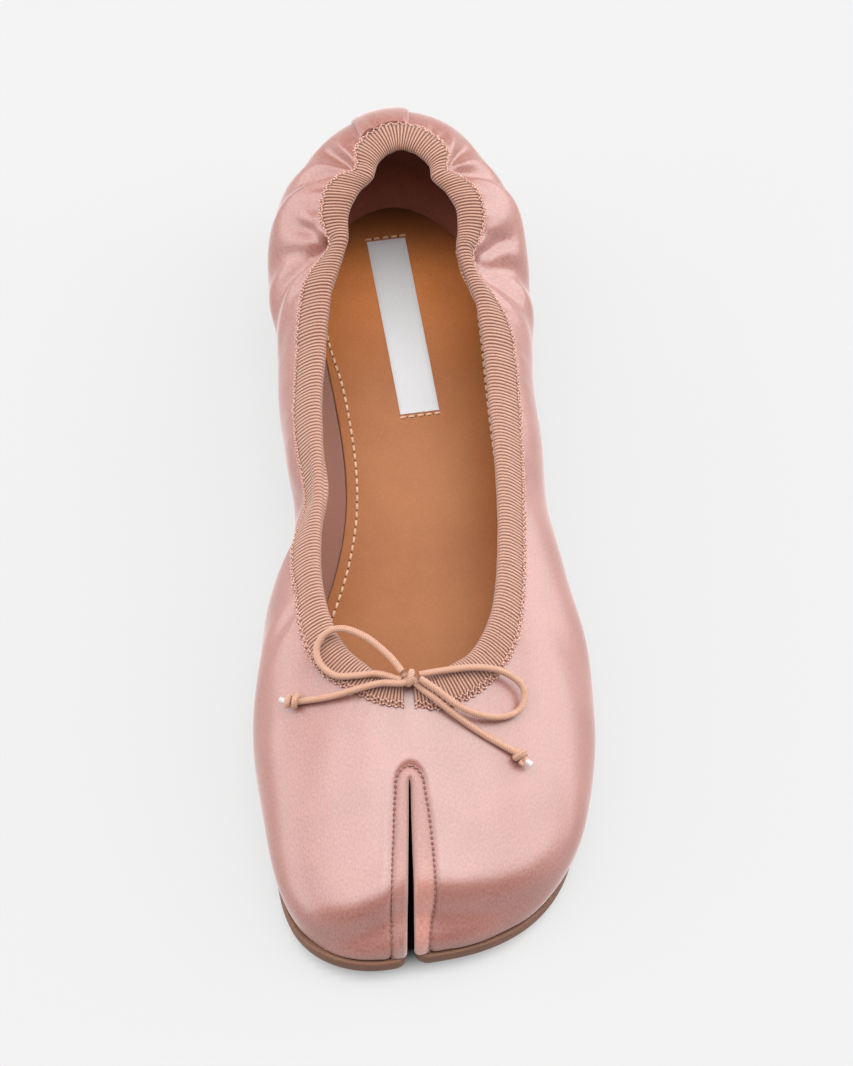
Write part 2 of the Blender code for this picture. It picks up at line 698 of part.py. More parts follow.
LOOP_POINTS = 34
TAIL_POINTS = 16
KNOT_POINTS = 18
LOOPS = {
    "bow_loop_medial": [
        (-6.6, 66.8, 45.2),
        (-8.9, 70.3, 45.7),
        (-11.8, 73.4, 46.4),
        (-15.9, 76.8, 47.2),
        (-21.4, 79.8, 46.7),
        (-25.8, 79.8, 44.9),
        (-28.5, 76.7, 42.7),
        (-27.7, 72.4, 41.5),
        (-24.0, 68.7, 41.5),
        (-19.0, 67.7, 42.5),
        (-13.1, 67.6, 43.3),
        (-6.9, 65.4, 43.4),
    ],
    "bow_loop_lateral": [
        (-2.1, 66.6, 43.8),
        (5.5, 67.7, 44.0),
        (13.2, 68.4, 43.7),
        (19.6, 68.5, 41.5),
        (24.5, 66.2, 38.9),
        (25.5, 63.0, 37.1),
        (23.7, 59.2, 36.3),
        (18.6, 56.8, 37.4),
        (12.8, 56.6, 39.5),
        (7.4, 58.6, 41.3),
        (2.3, 61.9, 43.6),
        (-2.1, 64.5, 45.2),
    ],
}
TAILS = {
    "bow_tail_medial": [
        (-6.7, 63.7, 44.5),
        (-12.1, 64.6, 43.4),
        (-18.4, 64.0, 41.9),
        (-25.3, 63.8, 38.9),
        (-33.2, 64.5, 36.0),
    ],
    "bow_tail_lateral": [
        (-2.2, 63.4, 43.0),
        (1.6, 60.4, 41.9),
        (6.9, 56.9, 39.1),
        (14.5, 52.4, 35.8),
        (22.2, 48.5, 33.3),
    ],
}
TIPS = {
    "cord_tip_medial": [
        (-37.1, 65.2, 34.7),
        (-38.2, 65.8, 34.4),
        (-39.2, 66.4, 34.0),
    ],
    "cord_tip_lateral": [
        (25.4, 45.9, 32.2),
        (26.2, 45.3, 31.9),
        (27.0, 44.7, 31.6),
    ],
}
KNOTS = [
    # name, middle, direction of the cord through it, turns, radius of the coil in mm
    ("bow_knot", (-4.4, 65.3, 44.4), (1.0, 0.05, 0.0), 1.4, 1.55),
    ("tail_knot_medial", (-35.2, 64.8, 35.3), (-1.0, 0.15, -0.3), 1.3, 0.95),
    ("tail_knot_lateral", (23.8, 47.3, 32.9), (0.75, -0.6, -0.3), 1.3, 0.95),
]
KNOT_PITCH = 2.15           # advance of a turn, in radii of the cord
KNOT_PULL = 0.95            # how much thinner the cord is where it is pulled tight


def through(places, count):
    """Even points on a smooth curve through a few places."""
    places = np.array(places, float)
    ends = np.vstack([2 * places[0] - places[1], places, 2 * places[-1] - places[-2]])
    fine = []
    for a, b, c, d in zip(ends, ends[1:], ends[2:], ends[3:]):
        for t in np.linspace(0, 1, 12, endpoint=False):
            bend = (2 * a - 5 * b + 4 * c - d) * t * t + (3 * b - a - 3 * c + d) * t ** 3
            fine.append(b + 0.5 * ((c - a) * t + bend))
    fine = np.array(fine + [places[-1]])
    run = np.concatenate([[0.0], np.cumsum(np.linalg.norm(np.diff(fine, axis=0), axis=1))])
    even = np.linspace(0.0, run[-1], count)
    return np.stack([np.interp(even, run, fine[:, axis]) for axis in range(3)], 1)


def coil(middle, axis, turns, radius):
    """Places of a knot's wraps: a short coil about the cord that it holds."""
    axis = np.array(axis) / np.linalg.norm(axis)
    up = np.cross(axis, [0.0, 1.0, 0.0])
    up = up / np.linalg.norm(up)
    side = np.cross(up, axis)
    pitch = KNOT_PITCH * CORD_RADIUS / MM / (2 * np.pi)
    angles = np.linspace(-np.pi * turns, np.pi * turns, KNOT_POINTS)[:, None]
    return middle + axis * pitch * angles + radius * (up * np.cos(angles) + side * np.sin(angles))


def cord(name, places, radius, material):
    """Round cord along a line of places."""
    curve = bpy.data.curves.new(name, "CURVE")
    curve.dimensions = "3D"
    curve.bevel_depth = radius
    curve.bevel_resolution = 2
    curve.use_fill_caps = True
    spline = curve.splines.new("POLY")
    spline.points.add(len(places) - 1)
    for point, (x, s, z) in zip(spline.points, places):
        point.co = (x * MM, along(s * MM), z * MM, 1.0)
    return place(name, curve, material)


def make_bow():
    for name, places in LOOPS.items():
        cord(name, through(places, LOOP_POINTS), CORD_RADIUS, CORD)
    for name, places in TAILS.items():
        cord(name, through(places, TAIL_POINTS), CORD_RADIUS, CORD)
    for name, places in TIPS.items():
        cord(name, places, CORD_RADIUS, CORD_TIP)
    for name, middle, axis, turns, radius in KNOTS:
        cord(name, coil(middle, axis, turns, radius), CORD_RADIUS * KNOT_PULL, CORD)


make_outsole()
make_insole()
make_heel_lift()
make_label()
make_upper()
make_gusset()
make_binding()
make_heel_tab()
make_bow()
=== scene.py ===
# %% [markdown]
# # A split-toe ballet flat in rose pink satin
# The shoe of the left foot, standing empty on its sole.  A real one is cut from satin backed
# with thin foam and a lining, pulled over a last, and gathered at the collar by a round elastic
# cord that runs inside a folded grosgrain ribbon.  The cord's ends are tied in a bow.
# Here every surface is a function of two numbers that say where a point lies on the last, so
# the satin, the ribbon folded over its edge and each stitch sit on one another exactly.

# %% Load the frame
import math

import bmesh
import bpy
import numpy as np
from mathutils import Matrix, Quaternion, Vector
from mathutils.bvhtree import BVHTree


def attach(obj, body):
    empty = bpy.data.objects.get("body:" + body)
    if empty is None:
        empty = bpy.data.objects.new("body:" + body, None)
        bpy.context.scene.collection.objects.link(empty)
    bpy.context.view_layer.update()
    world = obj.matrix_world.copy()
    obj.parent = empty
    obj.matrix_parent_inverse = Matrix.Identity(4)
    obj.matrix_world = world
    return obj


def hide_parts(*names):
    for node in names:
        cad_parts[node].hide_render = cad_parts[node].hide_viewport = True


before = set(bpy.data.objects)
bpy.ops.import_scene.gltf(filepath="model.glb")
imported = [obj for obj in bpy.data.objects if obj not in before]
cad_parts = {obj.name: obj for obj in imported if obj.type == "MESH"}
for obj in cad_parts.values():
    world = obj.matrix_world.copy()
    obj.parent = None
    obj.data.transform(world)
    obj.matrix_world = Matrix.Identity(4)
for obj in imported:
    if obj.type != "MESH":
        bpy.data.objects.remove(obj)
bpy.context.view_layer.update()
MM = 0.001
print("solids:", len(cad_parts))

# %% [markdown]
# ## The camera
# The view looks down on the toe from the big toe's side of the middle.  A shoe is shown through
# a long lens from about two metres, which keeps both of its ends nearly to one scale.  The
# camera is placed by three angles and a distance, and it is made first; the routes of the bow's
# cords were measured against what it sees.

# %% Place the camera
VIEW_TURN = math.radians(-5.1)          # round the shoe, from straight in front of the toe
VIEW_HEIGHT = math.radians(56.0)        # above the horizon
VIEW_ROLL = math.radians(2.57)
VIEW_DISTANCE = 2.18
VIEW_CENTRE = Vector((0.0033, 0.001, 0.024))
LENS = 275.0                            # mm, on a sensor whose long side is 36 mm

camera_data = bpy.data.cameras.new("camera")
camera_data.lens = LENS
camera_data.sensor_width = 36.0
camera = bpy.data.objects.new("camera", camera_data)
bpy.context.scene.collection.objects.link(camera)
towards = Vector((math.sin(VIEW_TURN) * math.cos(VIEW_HEIGHT),
                  -math.cos(VIEW_TURN) * math.cos(VIEW_HEIGHT), math.sin(VIEW_HEIGHT)))
camera.location = VIEW_CENTRE + towards * VIEW_DISTANCE
camera.rotation_mode = "QUATERNION"
camera.rotation_quaternion = (-towards).to_track_quat("-Z", "Y") @ Quaternion((0, 0, 1), VIEW_ROLL)
bpy.context.scene.camera = camera
print("camera:", VIEW_DISTANCE, "m away, lens", LENS, "mm")

# %% [markdown]
# ## The last
# A shoemaker starts from a last, the solid form of the foot.  It is described here as the maker
# would measure it: thirty-two sections round the shoe, each saying where the wall leaves the
# sole, where it ends at the collar, and how it bulges between the two.  A smooth closed curve
# runs through the sections, and each wall is a cubic Bezier curve from the sole to the collar.

# %% Sizes of the shoe
LENGTH = 247.0 * MM
BALL_WIDTH = 90.5 * MM
INSTEP = 41.0 * MM
HEEL_HEIGHT = 59.5 * MM
UPPER_WALL = 1.4 * MM
SOLE_THICK = 3.5 * MM
INSOLE_THICK = 2.5 * MM
CLEARANCE = 0.3 * MM

# Height of the sole's underside above the ground: part of the length behind the toe, mm
UNDERSIDE = [
    (0.000, 5.0), (0.060, 3.0), (0.140, 0.8), (0.210, 0.0), (0.356, 0.0),
    (0.453, 1.2), (0.567, 3.5), (0.688, 5.8), (0.770, 6.6), (1.000, 7.0),
]

# Sections from the toe round the outer side to the heel and back.  foot_x, top_x, low_out and
# high_out are in percent of the ball width, foot_s and top_s in percent of the length behind
# the toe, low_up and high_down in percent of the instep.  top_z is 0 at the instep's height
# and 100 at the heel's.
SECTIONS = [
    # name,                 foot_x, foot_s, top_x, top_s, top_z, low_out, low_up, high_out, high_down
    ("toe centre",           -7.7,  0.73,   -5.3, 26.72,    0,   0.0,  31.7,  44.2,  35.4),
    ("lateral toe a",         3.3,  1.38,    0.6, 27.04,    1,   0.9,  31.7,  43.1,  34.1),
    ("lateral toe b",        14.9,  2.59,    6.1, 28.02,    3,   3.3,  31.7,  39.8,  32.9),
    ("lateral toe c",        26.3,  5.18,   10.7, 29.31,    5,   6.6,  30.5,  35.4,  30.5),
    ("lateral toe d",        35.6,  9.39,   14.6, 31.09,    6,   9.4,  28.0,  30.9,  28.0),
    ("lateral joint a",      41.5, 15.30,   17.7, 33.44,    8,  11.6,  22.0,  28.7,  24.4),
    ("lateral joint b",      44.1, 22.51,   20.1, 36.68,    9,  13.3,  17.1,  27.6,  23.2),
    ("ball lateral",         44.0, 30.36,   21.7, 40.69,    9,  13.8,  14.6,  26.0,  22.0),
    ("lateral waist a",      40.7, 38.46,   22.7, 45.55,    8,  13.8,  14.6,  23.2,  19.5),
    ("lateral waist b",      35.9, 46.96,   23.3, 51.42,    8,  13.3,  14.6,  19.9,  19.5),
    ("lateral waist c",      31.8, 55.87,   23.6, 58.30,   10,  12.7,  12.2,  19.3,  19.5),
    ("lateral quarter a",    29.6, 64.78,   23.3, 65.79,   16,  13.3,  12.2,  20.4,  19.5),
    ("lateral quarter b",    28.5, 73.68,   21.7, 73.28,   30,  14.4,  17.1,  23.2,  22.0),
    ("lateral quarter c",    27.6, 82.19,   18.1, 80.77,   57,  16.0,  22.0,  27.6,  17.1),
    ("lateral heel",         24.5, 89.68,   13.9, 86.64,   86,  14.4,  34.1,  29.8,   2.4),
    ("lateral back",         14.9, 95.55,    8.4, 90.28,   97,  11.0,  41.5,  28.7,  -6.1),
    ("back centre",           0.0, 98.10,    0.3, 92.02,  100,   8.3,  43.9,  27.6,  -9.8),
    ("medial back",         -14.9, 95.55,   -7.7, 90.45,   97,  11.0,  41.5,  29.8,  -6.1),
    ("medial heel",         -24.1, 89.68,  -13.0, 86.84,   86,  16.6,  34.1,  32.0,   2.4),
    ("medial quarter c",    -25.9, 82.19,  -16.8, 81.17,   57,  19.3,  22.0,  29.8,  17.1),
    ("medial quarter b",    -23.4, 73.68,  -21.4, 73.89,   30,  20.4,  17.1,  22.1,  22.0),
    ("medial quarter a",    -20.8, 64.78,  -25.0, 66.19,   16,  22.7,  12.2,  17.1,  19.5),
    ("medial waist c",      -21.4, 55.87,  -26.9, 58.30,   10,  19.3,  12.2,  13.3,  18.3),
    ("medial waist b",      -27.4, 46.96,  -27.8, 51.01,    8,  14.4,  14.6,   9.9,  19.5),
    ("medial waist a",      -35.4, 39.27,  -28.6, 44.94,    8,  12.7,  14.6,  16.6,  22.0),
    ("ball medial",         -40.7, 31.58,  -28.5, 39.68,    9,  12.2,  17.1,  22.7,  24.4),
    ("medial joint b",      -43.1, 23.89,  -27.0, 35.63,    8,  11.6,  19.5,  26.5,  24.4),
    ("medial joint a",      -43.8, 16.60,  -24.1, 32.23,    6,   9.9,  22.0,  29.8,  24.4),
    ("medial toe d",        -43.1, 10.12,  -20.3, 29.88,    4,   7.2,  26.8,  33.1,  26.8),
    ("medial toe c",        -38.9,  4.62,  -16.4, 28.26,    2,   4.4,  30.5,  37.6,  30.5),
    ("medial toe b",        -30.1,  1.30,  -12.8, 27.29,    1,   1.7,  31.7,  42.0,  34.1),
    ("medial toe a",        -18.6,  0.24,   -9.1, 26.80,    0,   0.2,  31.7,  44.2,  35.4),
]
STATIONS = len(SECTIONS)
print("sections round the last:", STATIONS)


# %% Smooth curves through tables
class RoundCurve:
    """Smooth closed curve through the rows of a table; the parameter is the row number."""

    def __init__(self, rows):
        self.rows = np.asarray(rows, float)
        self.count = len(self.rows)
        ahead = np.roll(self.rows, -1, 0)
        behind = np.roll(self.rows, 1, 0)
        link = 4.0 * np.eye(self.count)
        link += np.roll(np.eye(self.count), 1, 0) + np.roll(np.eye(self.count), -1, 0)
        self.slopes = np.linalg.solve(link, 3.0 * (ahead - behind))

    def __call__(self, u):
        whole = np.floor(u)
        t = (u - whole)[..., None]
        i = whole.astype(int) % self.count
        j = (i + 1) % self.count
        start = (1 + 2 * t) * (1 - t) ** 2 * self.rows[i] + t * (1 - t) ** 2 * self.slopes[i]
        end = t * t * (3 - 2 * t) * self.rows[j] + t * t * (t - 1) * self.slopes[j]
        return start + end


def smoothstep(low, high, x):
    """Smooth rise from 0 at low to 1 at high."""
    t = np.clip((x - low) / (high - low), 0.0, 1.0)
    return t * t * (3 - 2 * t)


def monotone(table, x):
    """Smooth curve through (x, y) rows that never overshoots them."""
    xs, ys = np.array(table, float).T
    width = np.diff(xs)
    rise = np.diff(ys) / width
    slope = np.zeros(len(xs))
    both = rise[:-1] * rise[1:]
    safe = np.where(both > 0, rise[:-1] + rise[1:], 1.0)
    slope[1:-1] = np.where(both > 0, 2 * both / safe, 0.0)
    x = np.clip(x, xs[0], xs[-1])
    i = np.clip(np.searchsorted(xs, x) - 1, 0, len(width) - 1)
    t = (x - xs[i]) / width[i]
    start = (1 + 2 * t) * (1 - t) ** 2 * ys[i] + t * (1 - t) ** 2 * width[i] * slope[i]
    end = t * t * (3 - 2 * t) * ys[i + 1] + t * t * (t - 1) * width[i] * slope[i + 1]
    return start + end


def run_along(points):
    """Distance of each point of a line from its first one, measured along the line."""
    steps = np.linalg.norm(np.diff(points, axis=0), axis=-1)
    return np.concatenate([[0.0], np.cumsum(steps)])


print("underside at the toe tip and the heel, mm above the ground:",
      *monotone(UNDERSIDE, np.array([0.0, 1.0])))

# %% [markdown]
# The table's percents become metres once, and three closed curves run through them: the foot
# edge, the collar's fold, and the handles of the wall between the two.  The toe box gets its
# shoulder here too.  Satin pulled over the front of the last keeps a soft ridge, with a hollow
# below it where the front turns down to the sole.

# %% The wall of the shoe
NUMBERS = np.array([row[1:] for row in SECTIONS], float) / 100
foot_curve = RoundCurve(NUMBERS[:, 0:2] * [BALL_WIDTH, LENGTH])
top_rows = NUMBERS[:, 2:5] * [BALL_WIDTH, LENGTH, HEEL_HEIGHT - INSTEP] + [0, 0, INSTEP]
top_curve = RoundCurve(top_rows)
handles = RoundCurve(NUMBERS[:, 5:9] * [BALL_WIDTH, INSTEP, BALL_WIDTH, INSTEP])


def underside(s):
    """Height of the sole's underside at a distance s behind the toe tip."""
    return MM * monotone(UNDERSIDE, s / LENGTH)


def along(s):
    """Y of a distance s behind the toe tip."""
    return s - LENGTH / 2


def outward(curve, u, reach=0.02):
    """Unit direction in the ground plane, away from the inside of a closed curve."""
    run = curve(u + reach)[..., :2] - curve(u - reach)[..., :2]
    run = run / np.linalg.norm(run, axis=-1, keepdims=True)
    return np.stack([run[..., 1], -run[..., 0]], -1)


SHOULDER_RIDGE = 1.3            # mm that the ridge stands out
SHOULDER_HOLLOW = 1.8           # mm that the front is hollowed below it
SHOULDER_SLANT = 0.71           # share of both that goes outwards, and as much upwards


def toe_shoulder(u, v):
    """The toe box's soft shoulder, a ridge over a hollow, strongest beside the cleft."""
    around = np.mod(u + STATIONS / 2, STATIONS) - STATIONS / 2
    big_toe = around < 0
    reach = np.abs(around) / np.where(big_toe, 2.9, 3.6)
    # The front turns down lower towards each side, and soonest at the big toe
    turn = np.where(big_toe, 0.42 + 0.095 * around, 0.385 - 0.042 * around)
    turn = np.maximum(turn, 0.14)
    ridge = SHOULDER_RIDGE * np.exp(-((v - turn - 0.09) / 0.095) ** 2)
    low = v - turn + 0.10
    hollow = SHOULDER_HOLLOW * np.exp(-(low / np.where(low > 0, 0.09, 0.13)) ** 2)
    return MM * (ridge - hollow) * np.exp(-reach ** 3)


def smooth_wall(u, v):
    """Outside of the upper before it is gathered; v is 0 at the foot edge and 1 at the top."""
    u, v = np.broadcast_arrays(np.asarray(u, float), np.asarray(v, float))
    foot = foot_curve(u)
    top = top_curve(u)
    reach = handles(u)
    ground = underside(foot[..., 1]) + SOLE_THICK + CLEARANCE
    start = np.concatenate([foot, ground[..., None]], -1)
    low = np.concatenate([outward(foot_curve, u) * reach[..., 0:1], reach[..., 1:2]], -1)
    high = np.concatenate([outward(top_curve, u, 0.3) * reach[..., 2:3], -reach[..., 3:4]], -1)
    bulge = toe_shoulder(u, v)[..., None] * SHOULDER_SLANT
    t = v[..., None]
    point = (1 - t) ** 3 * start + 3 * (1 - t) ** 2 * t * (start + low)
    point = point + 3 * (1 - t) * t * t * (top + high) + t ** 3 * top
    point[..., :2] += outward(foot_curve, u) * bulge
    point[..., 2:] += bulge
    point[..., 1] -= LENGTH / 2
    return point


def normals(surface, u, v, step=0.004):
    """Outward unit normals of a surface of u and v."""
    v = np.clip(v, step, 1 - step)
    across = surface(u + 5 * step, v) - surface(u - 5 * step, v)
    upward = surface(u, v + step) - surface(u, v - step)
    cross = np.cross(across, upward)
    return cross / np.linalg.norm(cross, axis=-1, keepdims=True)


# %% [markdown]
# The ribbon, the stitches and the creases are placed by how far they lie below the fold of the
# collar, as a maker would mark them with a rule.  So the wall can be asked for that distance.

# %% Distance down the wall from the fold
def below_topline(u, distance):
    """v of the point a distance down the wall from the fold of the ribbon."""
    samples = np.linspace(1.0, 0.5, 41)
    line = smooth_wall(u[:, None], samples[None, :])
    run = np.linalg.norm(np.diff(line, axis=1), axis=-1)
    run = np.concatenate([np.zeros((len(u), 1)), np.cumsum(run, 1)], 1)
    distance = np.broadcast_to(distance, len(u))
    return np.array([np.interp(d, row, samples) for d, row in zip(distance, run)])


heights = smooth_wall([0.0, STATIONS / 2], 1.0)[:, 2] / MM
print("collar at the throat and the heel, mm above the ground:", heights.round(1))

# %% [markdown]
# ## The gathers
# The elastic is shorter than the collar, so it draws the wall in where the foot holds it least:
# two pinches on each side of the heel, and a tuck at the waist.  Each is a soft fold, shaped
# like a bell across, that deepens up the wall.  Between two pinches the foam-backed cloth
# swells out.  Under the ribbon the pinches are sharp, so two tables take over there: one is
# the line of its sewn edge, and one the line of its fold.

# %% Folds that the elastic draws
GATHERS = [
    # name,              station, depth in mm, half width in stations, begins up the wall
    ("outer back",         14.50,   2.6,       0.30,   0.34),
    ("outer quarter",      12.85,   2.6,       0.32,   0.34),
    ("inner back",         17.50,   2.8,       0.30,   0.34),
    ("inner quarter",      18.92,   2.4,       0.30,   0.34),
    ("inner waist tuck",   22.90,   1.2,       0.45,   0.30),
    ("outer pillow",       13.60,  -1.0,       0.36,   0.40),
    ("inner pillow",       18.25,  -1.0,       0.36,   0.40),
]
GATHER_LOW = 0.63               # up the wall, where the line of the sewn edge begins to tell
GATHER_FULL = 0.86              # up the wall, where it holds alone

# Lines of the collar by station, in mm out from the last in the plan.  The elastic is in the
# fold; the ribbon's sewn edge follows it in every pinch, and further.
DRAWN_EDGE = [
    (0.0, 0.0), (3.0, 0.1), (4.8, 0.3), (6.4, -0.3), (7.5, -0.6), (8.5, -0.4), (9.3, 0.0),
    (10.7, 0.3), (11.6, 0.4), (12.05, -0.9), (12.38, -3.8), (12.7, -6.4), (12.95, -6.2),
    (13.12, -3.8), (13.34, -1.4), (13.6, -0.5), (13.9, -1.0), (14.18, -3.8), (14.45, -6.4),
    (14.64, -5.0), (14.84, -2.9), (15.3, -1.8), (16.0, -1.8), (16.6, -2.2), (17.05, -3.5),
    (17.34, -6.2), (17.54, -6.6), (17.8, -2.6), (18.1, -0.4), (18.45, -0.5), (18.72, -2.4),
    (18.92, -4.6), (19.14, -2.9), (19.42, 0.2), (19.75, 1.4), (20.2, 1.1), (20.8, 0.3),
    (21.3, 0.3), (21.8, -0.1), (22.3, -1.2), (22.85, -1.9), (23.35, -0.9), (23.85, 0.3),
    (24.4, 0.1), (25.1, -0.6), (26.3, 0.2), (28.0, 0.0), (32.0, 0.0),
]
DRAWN_FOLD = [
    (0.0, -1.0), (1.5, -1.0), (2.4, -0.8), (3.4, 0.2), (4.3, 0.4), (6.0, 0.9), (7.3, 0.9),
    (8.3, 1.0), (9.2, 0.9), (9.9, 0.6), (10.6, 0.1), (11.6, 0.2), (12.1, 0.3), (12.56, -0.9),
    (12.94, -1.5), (13.26, 0.0), (13.6, 1.0), (13.95, -0.2), (14.42, -2.2), (14.9, -0.5),
    (15.45, -0.5), (16.4, -1.3), (16.9, -1.6), (17.5, -2.9), (18.1, -0.2), (18.5, 0.9),
    (18.9, 0.1), (19.3, 0.8), (19.7, 1.8), (20.1, 1.5), (20.8, 0.7), (21.4, 0.6), (22.0, 0.2),
    (23.2, 0.3), (24.1, 0.5), (24.6, 0.7), (25.4, 0.6), (26.2, 0.5), (27.4, 0.1), (28.6, -0.8),
    (30.0, -1.0), (32.0, -1.0),
]


def drawn_in(u, v):
    """How far the wall stands out in the plan, negative where the elastic draws it in."""
    below = np.zeros(np.broadcast(u, v).shape)
    for _, station, deep, half_width, begins in GATHERS:
        below = below - deep * np.exp(-((u - station) / half_width) ** 2) \
            * smoothstep(begins, GATHER_FULL, v)
    around = np.mod(u, STATIONS)
    near_edge = smoothstep(GATHER_LOW, GATHER_FULL, v)
    over = smoothstep(GATHER_FULL + 0.01, 1.0, v)
    edge = monotone(DRAWN_EDGE, around)
    fold = monotone(DRAWN_FOLD, around)
    return MM * (below * (1 - near_edge) + (edge + (fold - edge) * over) * near_edge)


def wall(u, v):
    """Outside of the upper."""
    u, v = np.broadcast_arrays(np.asarray(u, float), np.asarray(v, float))
    point = smooth_wall(u, v)
    point[..., :2] += outward(top_curve, u, 0.3) * drawn_in(u, v)[..., None]
    return point


def layer(u, v, offset):
    """Surface at an offset outside the upper, negative towards the foot."""
    return wall(u, v) + normals(wall, u, v) * np.asarray(offset)[..., None]


print("deepest pinch, mm:", min(out for _, out in DRAWN_EDGE), "gathers:", len(GATHERS))
# %% [markdown]
# ## Pieces and finishes
# Each surface is worked out as a grid of points, row by row, and becomes a mesh in one call.
# Grids are quick to make, every quad follows the cloth's own directions, and the numbers that
# made a point can also give its colour.  One function makes a piece, hangs it on the body it
# moves with, gives it its materials, and hides the plain solid that it stands for.

# %% Make a piece from points and faces
def grid_quads(columns, rows, loop_columns=False, loop_rows=False, start=0):
    """Quads over a grid of points that is stored column by column."""
    numbers = start + np.arange(columns * rows).reshape(columns, rows)
    if loop_columns:
        numbers = np.concatenate([numbers, numbers[:1]], 0)
    if loop_rows:
        numbers = np.concatenate([numbers, numbers[:, :1]], 1)
    corners = [numbers[:-1, :-1], numbers[1:, :-1], numbers[1:, 1:], numbers[:-1, 1:]]
    return np.stack([c.ravel() for c in corners], 1)


def piece(name, points, faces, materials, stands_for=(), sharp=50.0, weld=0.0,
          inside=None, layers=None):
    """Mesh with its faces turned outwards.  Faces numbered in inside take the second material;
    layers holds values for every point that the materials read."""
    mesh = bpy.data.meshes.new(name)
    mesh.from_pydata(np.asarray(points).tolist(), [], [list(map(int, f)) for f in faces])
    for material in materials:
        mesh.materials.append(material)
    if inside is not None:
        mesh.polygons.foreach_set("material_index", np.asarray(inside, np.int32))
    for title, values in (layers or {}).items():
        values = np.asarray(values, np.float32)
        if values.ndim == 2:
            uv = mesh.uv_layers.new(name=title)
            corner = np.empty(len(mesh.loops), np.int32)
            mesh.loops.foreach_get("vertex_index", corner)
            uv.data.foreach_set("uv", values[corner].ravel())
        else:
            mesh.attributes.new(title, "FLOAT", "POINT").data.foreach_set("value", values)
    body = bmesh.new()
    body.from_mesh(mesh)
    if weld:
        bmesh.ops.remove_doubles(body, verts=body.verts, dist=weld)
    bmesh.ops.recalc_face_normals(body, faces=body.faces)
    body.to_mesh(mesh)
    body.free()
    mesh.shade_smooth()
    mesh.set_sharp_from_angle(angle=math.radians(sharp))
    thing = bpy.data.objects.new(name, mesh)
    bpy.context.scene.collection.objects.link(thing)
    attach(thing, "root")
    if stands_for:
        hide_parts(*stands_for)
    print(f"{name}: {sum(len(p.vertices) - 2 for p in mesh.polygons)} triangles")
    return thing


# %% [markdown]
# Cords and threads are tubes.  A curve object with a bevel would draw one too, but rings made
# by hand can swell and taper, and their points carry the run along the thread in millimetres.

# %% Tubes along a path
def unit(vectors):
    """The same directions, each one long."""
    return vectors / np.linalg.norm(vectors, axis=-1, keepdims=True)


def rings_along(path, radius, sides, up=None):
    """Round rings along a path; up, one direction for every point, keeps them from twisting."""
    path = np.asarray(path, float)
    run = unit(np.gradient(path, axis=0))
    if up is None:
        up = np.empty_like(run)
        side = np.cross(run[0], [0.0, 0.0, 1.0])
        up[0] = np.cross(side, run[0])
        for k in range(1, len(path)):
            up[k] = up[k - 1] - run[k] * np.dot(up[k - 1], run[k])
    up = unit(up - run * np.sum(up * run, -1, keepdims=True))
    side = np.cross(run, up)
    turn = np.linspace(0, 2 * np.pi, sides, endpoint=False)[None, :, None]
    radius = np.broadcast_to(radius, len(path))[:, None, None]
    return path[:, None] + radius * (side[:, None] * np.cos(turn) + up[:, None] * np.sin(turn))


def tube_faces(columns, sides, start=0):
    """Faces of a closed tube through rings, with a cap on each end."""
    faces = [tuple(f) for f in grid_quads(columns, sides, False, True, start)]
    faces.append(tuple(range(start + sides - 1, start - 1, -1)))
    last = start + (columns - 1) * sides
    return faces + [tuple(range(last, last + sides))]


# %% [markdown]
# A material here is a Principled shader with a few nodes before it.  Colours are written as
# sRGB hex values, which is how a swatch is read, and turned to linear light in one place.
# Three functions are enough: one starts a material, one adds a node with its settings and
# links, and one covers a shader with two tones and the relief of what it is made of.

# %% Start a material and add a node
def linear(code):
    """Linear colour of an sRGB hex value."""
    parts = [int(code[i:i + 2], 16) / 255 for i in (0, 2, 4)]
    return [*(c / 12.92 if c <= 0.04045 else ((c + 0.055) / 1.055) ** 2.4 for c in parts), 1.0]


def start_material(name, **numbers):
    """Material whose shader has these numbers on its own sockets; underscores stand for spaces."""
    material = bpy.data.materials.new(name)
    material.use_nodes = True
    shader = material.node_tree.nodes["Principled BSDF"]
    for socket, value in numbers.items():
        shader.inputs[socket.replace("_", " ")].default_value = value
    return material, material.node_tree, shader


def add(tree, kind, inputs=None, **settings):
    """New node with its settings; each input is given a value or linked to another's output."""
    node = tree.nodes.new(kind)
    for setting, value in settings.items():
        setattr(node, setting, value)
    for socket, value in (inputs or {}).items():
        if isinstance(value, bpy.types.NodeSocket):
            tree.links.new(value, node.inputs[socket])
        else:
            node.inputs[socket].default_value = value
    return node


def cover(tree, shader, share, deep, light, height=None, strength=0.0, depth=0.0):
    """Colour a shader from deep to light by a share, and raise it by a height times mm."""
    tone = add(tree, "ShaderNodeMix", {0: share, 6: linear(deep), 7: linear(light)},
               data_type="RGBA")
    tree.links.new(tone.outputs[2], shader.inputs["Base Color"])
    if height is not None:
        relief = add(tree, "ShaderNodeBump", {"Height": height, "Strength": strength,
                                              "Distance": depth * MM})
        tree.links.new(relief.outputs[0], shader.inputs["Normal"])


# %% [markdown]
# ## Satin
# Duchess satin is woven so that long warp threads float on top, four or more wefts at a time.
# The floats lie side by side like brushed hair, so light glances off them: the highlight is
# broad and almost white, and where the cloth turns away the pink goes deep and saturated.
# The threads are about 0.1 mm, too fine to show, so they are drawn at 0.5 mm.
# The strip in the cleft is cut across the floats, which makes it duller and softer, and painted
# light makes the front of its lateral half paler.  Where it turns down between the toes it has
# little gloss, and a darker copy of its colour paints the shade of the deep cleft.

# %% Satin of the upper and the plain lining behind it
THREAD = 0.5                    # mm, five times the real spacing


